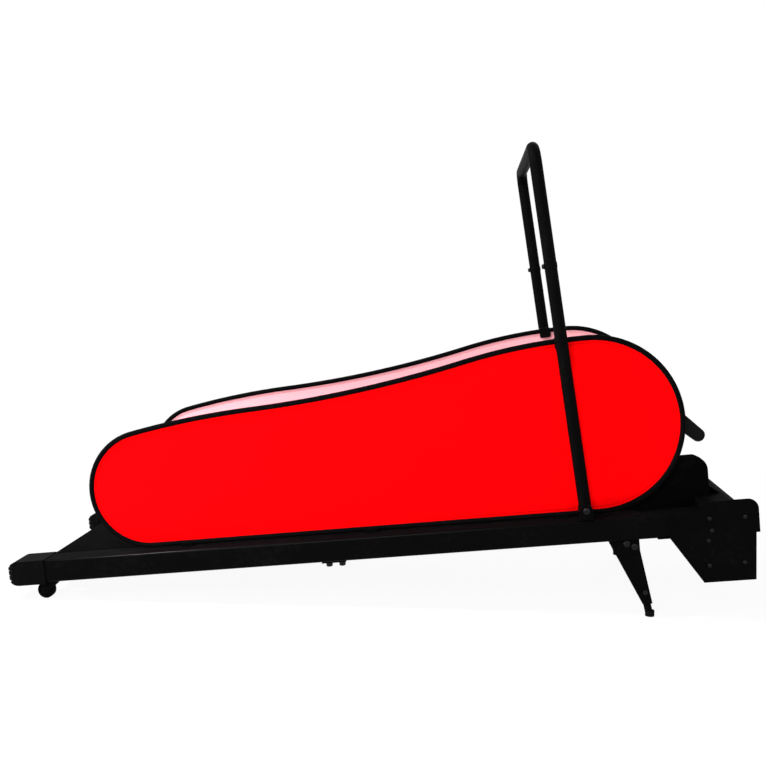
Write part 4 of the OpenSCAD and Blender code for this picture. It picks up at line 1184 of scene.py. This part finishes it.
@dataclass
class Console:
    """Raised marks on the console's buttons and a frame round its display.

    Attributes:
        low_edge: Middle of the console's low round edge, along and up on the deck.
        tilt: Slope of the console from the deck.
        top: Height of a button's cap above the console's middle plane.
        row: Place of the buttons up the slope.
        pitch: Distance between buttons.
        mark: Radius of the arrow, length of the bars and height of a mark.
        face: Height of the console's face above its middle plane.
        lens_row: Place of the display up the slope.
        lens: The display's size, up the slope and across.
        bezel: Width and height of the frame round the display.
    """

    low_edge: tuple[float, float] = (1.8195, 0.229)
    tilt: float = math.radians(46)
    top: float = 0.02
    row: float = -0.0378
    pitch: float = 0.0589
    mark: tuple[float, float, float] = (0.0055, 0.0085, 0.0004)
    face: float = 0.017
    lens_row: float = -0.0924
    lens: tuple[float, float] = (0.052, 0.11)
    bezel: tuple[float, float] = (0.005, 0.0009)

    def build(self) -> None:
        """Makes the marks and the display's frame."""
        marks = {
            "slower_button": (Icon.LESS, -1.5),
            "start_button": (Icon.GO, -0.5),
            "stop_button": (Icon.HALT, 0.5),
            "faster_button": (Icon.MORE, 1.5),
        }
        for body, (icon, step) in marks.items():
            mark = self._mark(icon, f"{body}_mark")
            place = self.frame @ Matrix.Translation((self.row, step * self.pitch, self.top))
            settle(moved(mark, place), body, Palette.MARK)
        self._bezel()

    @property
    def frame(self) -> Matrix:
        """The console's own frame: down its slope, across, and off its face."""
        return DECK.on(*self.low_edge, self.tilt)

    def _mark(self, icon: Icon, name: str) -> Piece:
        """Makes one raised mark.

        Args:
            icon: The mark's shape.
            name: The piece's name.

        Returns:
            The mark, lying on the plane at zero.
        """
        deselect()
        radius, length, height = self.mark
        if icon is Icon.GO:
            bpy.ops.mesh.primitive_circle_add(vertices=3, radius=radius, fill_type="NGON")
        else:
            bpy.ops.mesh.primitive_grid_add(x_subdivisions=3, y_subdivisions=3, size=length)
        mark = started(name)
        if icon in (Icon.MORE, Icon.LESS):
            limit = 0.001

            def spare(face: bpy.types.MeshPolygon) -> bool:
                """Whether a face lies outside the mark's bars."""
                off_bar = abs(face.center.x) > limit
                return off_bar and (icon is Icon.LESS or abs(face.center.y) > limit)

            edit_faces(mark, spare)
            bpy.ops.mesh.delete(type="FACE")
        edit_faces(mark)
        extruded(height)
        leave_edit()
        turned_out(mark)
        modified(mark, "BEVEL", width=0.00015, segments=2, limit_method="ANGLE")
        return mark

    def _bezel(self) -> None:
        """Makes the frame round the display, as a sheet with its middle cut out and its edges rolled."""
        deselect()
        high, wide = self.lens
        lip, rise = self.bezel
        bpy.ops.mesh.primitive_plane_add(size=1)
        bezel = started("display_bezel")
        moved(bezel, Matrix.Diagonal((high + 2 * lip, wide + 2 * lip, 1, 1)))
        edit_faces(bezel)
        bpy.ops.mesh.inset(thickness=lip + 0.001)
        bpy.ops.mesh.delete(type="FACE")
        bpy.ops.mesh.select_all(action="SELECT")
        extruded(rise)
        leave_edit()
        turned_out(bezel)
        modified(bezel, "BEVEL", width=0.0003, segments=3, limit_method="ANGLE")
        moved(bezel, self.frame @ Matrix.Translation((self.lens_row, 0, self.face)))
        settle(smoothed(bezel), "frame", Palette.SMOOTH)


# Solids that keep their CAD shape


@dataclass
class Dressing:
    """The finish of each CAD node that shows its own shape."""

    finishes: dict[str, Finish] = field(default_factory=dict)

    def __post_init__(self) -> None:
        """Lists the nodes that wear each finish."""
        worn = {
            Palette.PAINT: (
                "cross_members tie_strap wheel_brackets motor_cradle motor_tray right_side_plate "
                "left_side_plate post_brackets right_post left_post upper_handle leg_sockets incline_stand"
            ),
            Palette.RAIL: "right_rail left_rail",
            Palette.CAP: "right_end_cap left_end_cap",
            Palette.PLASTIC: "power_inlet hoop_saddles panel_clips",
            Palette.COVER: "nose_cover motor_hood",
            Palette.SMOOTH: "console_pedestal console_back console_face",
            Palette.RUBBER: "deck_cushions stand_feet drive_belt",
            Palette.WHEEL: "right_wheel left_wheel",
            Palette.BELT: "running_belt",
            Palette.BOARD: "deck_board",
            Palette.ROLLER: (
                "front_roller rear_roller roller_shafts roller_bearings tension_bolts motor_rotor "
                "handle_spigots"
            ),
            Palette.BOLT: (
                "frame_bolts side_plate_screws post_pivot_bolts handle_bolts right_clamp_screw "
                "left_clamp_screw"
            ),
            Palette.MOTOR: "motor_case",
            Palette.ALLOY: "roller_pulley control_box",
            Palette.CIRCUIT: "console_board",
            Palette.SCREEN: "display_lens",
            Palette.RED_PLASTIC: "stop_button safety_key power_switch",
            Palette.GREEN_PLASTIC: "start_button",
            Palette.GREY_PLASTIC: "faster_button slower_button",
            Palette.BINDING: "right_hoop left_hoop",
            Palette.RED_CLOTH: "right_panel left_panel",
        }
        self.finishes = {node: finish for finish, nodes in worn.items() for node in nodes.split()}

    def dress(self, nodes: dict[str, Piece]) -> None:
        """Puts each node's finish on it.

        Args:
            nodes: The CAD nodes by name.
        """
        for name, node in nodes.items():
            node.data.materials.clear()
            node.data.materials.append(self.finishes[name].material())
            LOG.info("%s wears %s", name, self.finishes[name].name)


# Studio


@dataclass
class Studio:
    """The camera at the photograph's place, a pale floor and soft lamps.

    Attributes:
        place: The camera's place.
        pitch: How far it looks down.
        yaw: How far it is turned from square to the deck.
        lens: Focal length for a sensor 36 mm wide.
        ambient: Strength of the light from all round.
        glow: Share of the floor's own white near the object, which leaves its shadow faint.
        white_from: Distance from the object's middle at which the floor is all white.
    """

    place: tuple[float, float, float] = (0.2541, -2.6981, 0.8293)
    pitch: float = 0.1014
    yaw: float = 0.0912
    lens: float = 45.546
    ambient: float = 0.25
    glow: float = 0.94
    white_from: tuple[float, float] = (1.1, 2.4)

    def build(self) -> None:
        """Makes the camera, the floor, the world and the lamps."""
        self._camera()
        self._floor()
        self._world()
        lamps = (
            ("key_lamp", (-1.2, -4.2, 3.2), (0.0, 0.0, 0.4), 2.2, 165.0),
            ("fill_lamp", (2.8, -2.6, 1.6), (0.2, 0.0, 0.4), 2.0, 24.0),
            ("back_lamp", (0.8, 4.2, 2.6), (0.0, 0.0, 0.4), 2.0, 110.0),
            ("edge_lamp", (-1.7, -0.8, 2.45), (-0.75, -0.3, 0.12), 0.3, 100.0),
            ("cap_lamp", (-3.0, -1.2, 0.3), (-0.9, -0.3, 0.07), 0.3, 45.0),
        )
        for name, place, target, size, power in lamps:
            self._lamp(name, Vector(place), Vector(target), size, power)
        bpy.context.scene.view_settings.view_transform = "Standard"

    def _camera(self) -> None:
        """Sets the camera where the photograph was taken from."""
        data = bpy.data.cameras.new("camera")
        data.sensor_fit, data.sensor_width, data.lens = "HORIZONTAL", 36.0, self.lens
        data.clip_end = 60.0
        camera = bpy.data.objects.new("camera", data)
        camera.location = self.place
        camera.rotation_euler = Euler((math.pi / 2 - self.pitch, 0, self.yaw))
        bpy.context.collection.objects.link(camera)
        bpy.context.scene.camera = camera

    def _floor(self) -> None:
        """Makes a white floor that keeps a faint shadow."""
        deselect()
        bpy.ops.mesh.primitive_plane_add(size=16, location=(0, 2, -0.0004))
        floor = started("floor")
        edit_faces(floor)
        bpy.ops.mesh.subdivide(number_cuts=3)
        leave_edit()
        paper = bpy.data.materials.new("floor_paper")
        paper.use_nodes = True
        shade = Shade(paper.node_tree)
        shader = paper.node_tree.nodes["Principled BSDF"]
        shader.inputs["Specular IOR Level"].default_value = 0.1
        place = shade.add("TexCoord").outputs["Object"]
        tone = shade.blend(shade.noise(place, 3.0, 3.0), (0.86, 0.86, 0.86), (0.9, 0.9, 0.9))
        shade.join(shader, base_color=tone, roughness=0.9)
        glow = shade.add("Emission")
        reach = shade.add("VectorMath", operation="LENGTH")
        shade.set(reach.inputs[0], place)
        share = shade.span(reach.outputs["Value"], *self.white_from, self.glow, 1.0)
        self._mix(shade, shade.math("MULTIPLY", self._seen(shade), share), shader, glow, "Material Output")
        floor.data.materials.append(paper)

    def _world(self) -> None:
        """Lights the scene evenly, with a white surround for what the camera and reflections see."""
        world = bpy.data.worlds.new("studio")
        bpy.context.scene.world = world
        world.use_nodes = True
        shade = Shade(world.node_tree)
        even, white = world.node_tree.nodes["Background"], shade.add("Background")
        for background, strength in ((even, self.ambient), (white, 1.0)):
            shade.join(background, color=(1.0, 1.0, 1.0), strength=strength)
        self._mix(shade, self._seen(shade), even, white, "World Output")

    @staticmethod
    def _seen(shade: Shade) -> Socket:
        """Whether a ray comes from the camera, a reflection or clear glass."""
        path = shade.add("LightPath")
        seen = path.outputs["Is Camera Ray"]
        for other in ("Is Glossy Ray", "Is Transmission Ray"):
            seen = shade.math("MAXIMUM", seen, path.outputs[other])
        return seen

    @staticmethod
    def _mix(shade: Shade, share: object, lit: Node, white: Node, output: str) -> None:
        """Joins a lit shader and a white one to a tree's output.

        Args:
            shade: The tree.
            share: The white one's share.
            lit: The shader that takes the lamps' light.
            white: The shader of even white.
            output: Name of the tree's output node.
        """
        mix = shade.add("MixShader")
        for socket, value in zip(mix.inputs, (share, lit.outputs[0], white.outputs[0])):
            shade.set(socket, value)
        shade.set(shade.tree.nodes[output].inputs["Surface"], mix.outputs[0])

    @staticmethod
    def _lamp(name: str, place: Vector, target: Vector, size: float, power: float) -> None:
        """Hangs a soft square lamp.

        Args:
            name: The lamp's name.
            place: Where it hangs.
            target: What it points at.
            size: Length of its sides.
            power: Its power in watts.
        """
        data = bpy.data.lights.new(name, "AREA")
        data.size, data.energy = size, power
        lamp = bpy.data.objects.new(name, data)
        lamp.location = place
        lamp.rotation_euler = (target - place).to_track_quat("-Z", "Y").to_euler()
        bpy.context.collection.objects.link(lamp)


def main() -> None:
    """Loads the solids, dresses them, adds the made pieces and sets the studio."""
    logging.basicConfig(level=logging.INFO, format="%(message)s")
    for start in list(bpy.data.objects):
        bpy.data.objects.remove(start)
    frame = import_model()
    deselect()
    Dressing().dress(frame["nodes"])
    for side in Side:
        SidePanel(side).build()
    Hardware().build()
    Console().build()
    Studio().build()
    deselect()


if __name__ == "__main__":
    main()
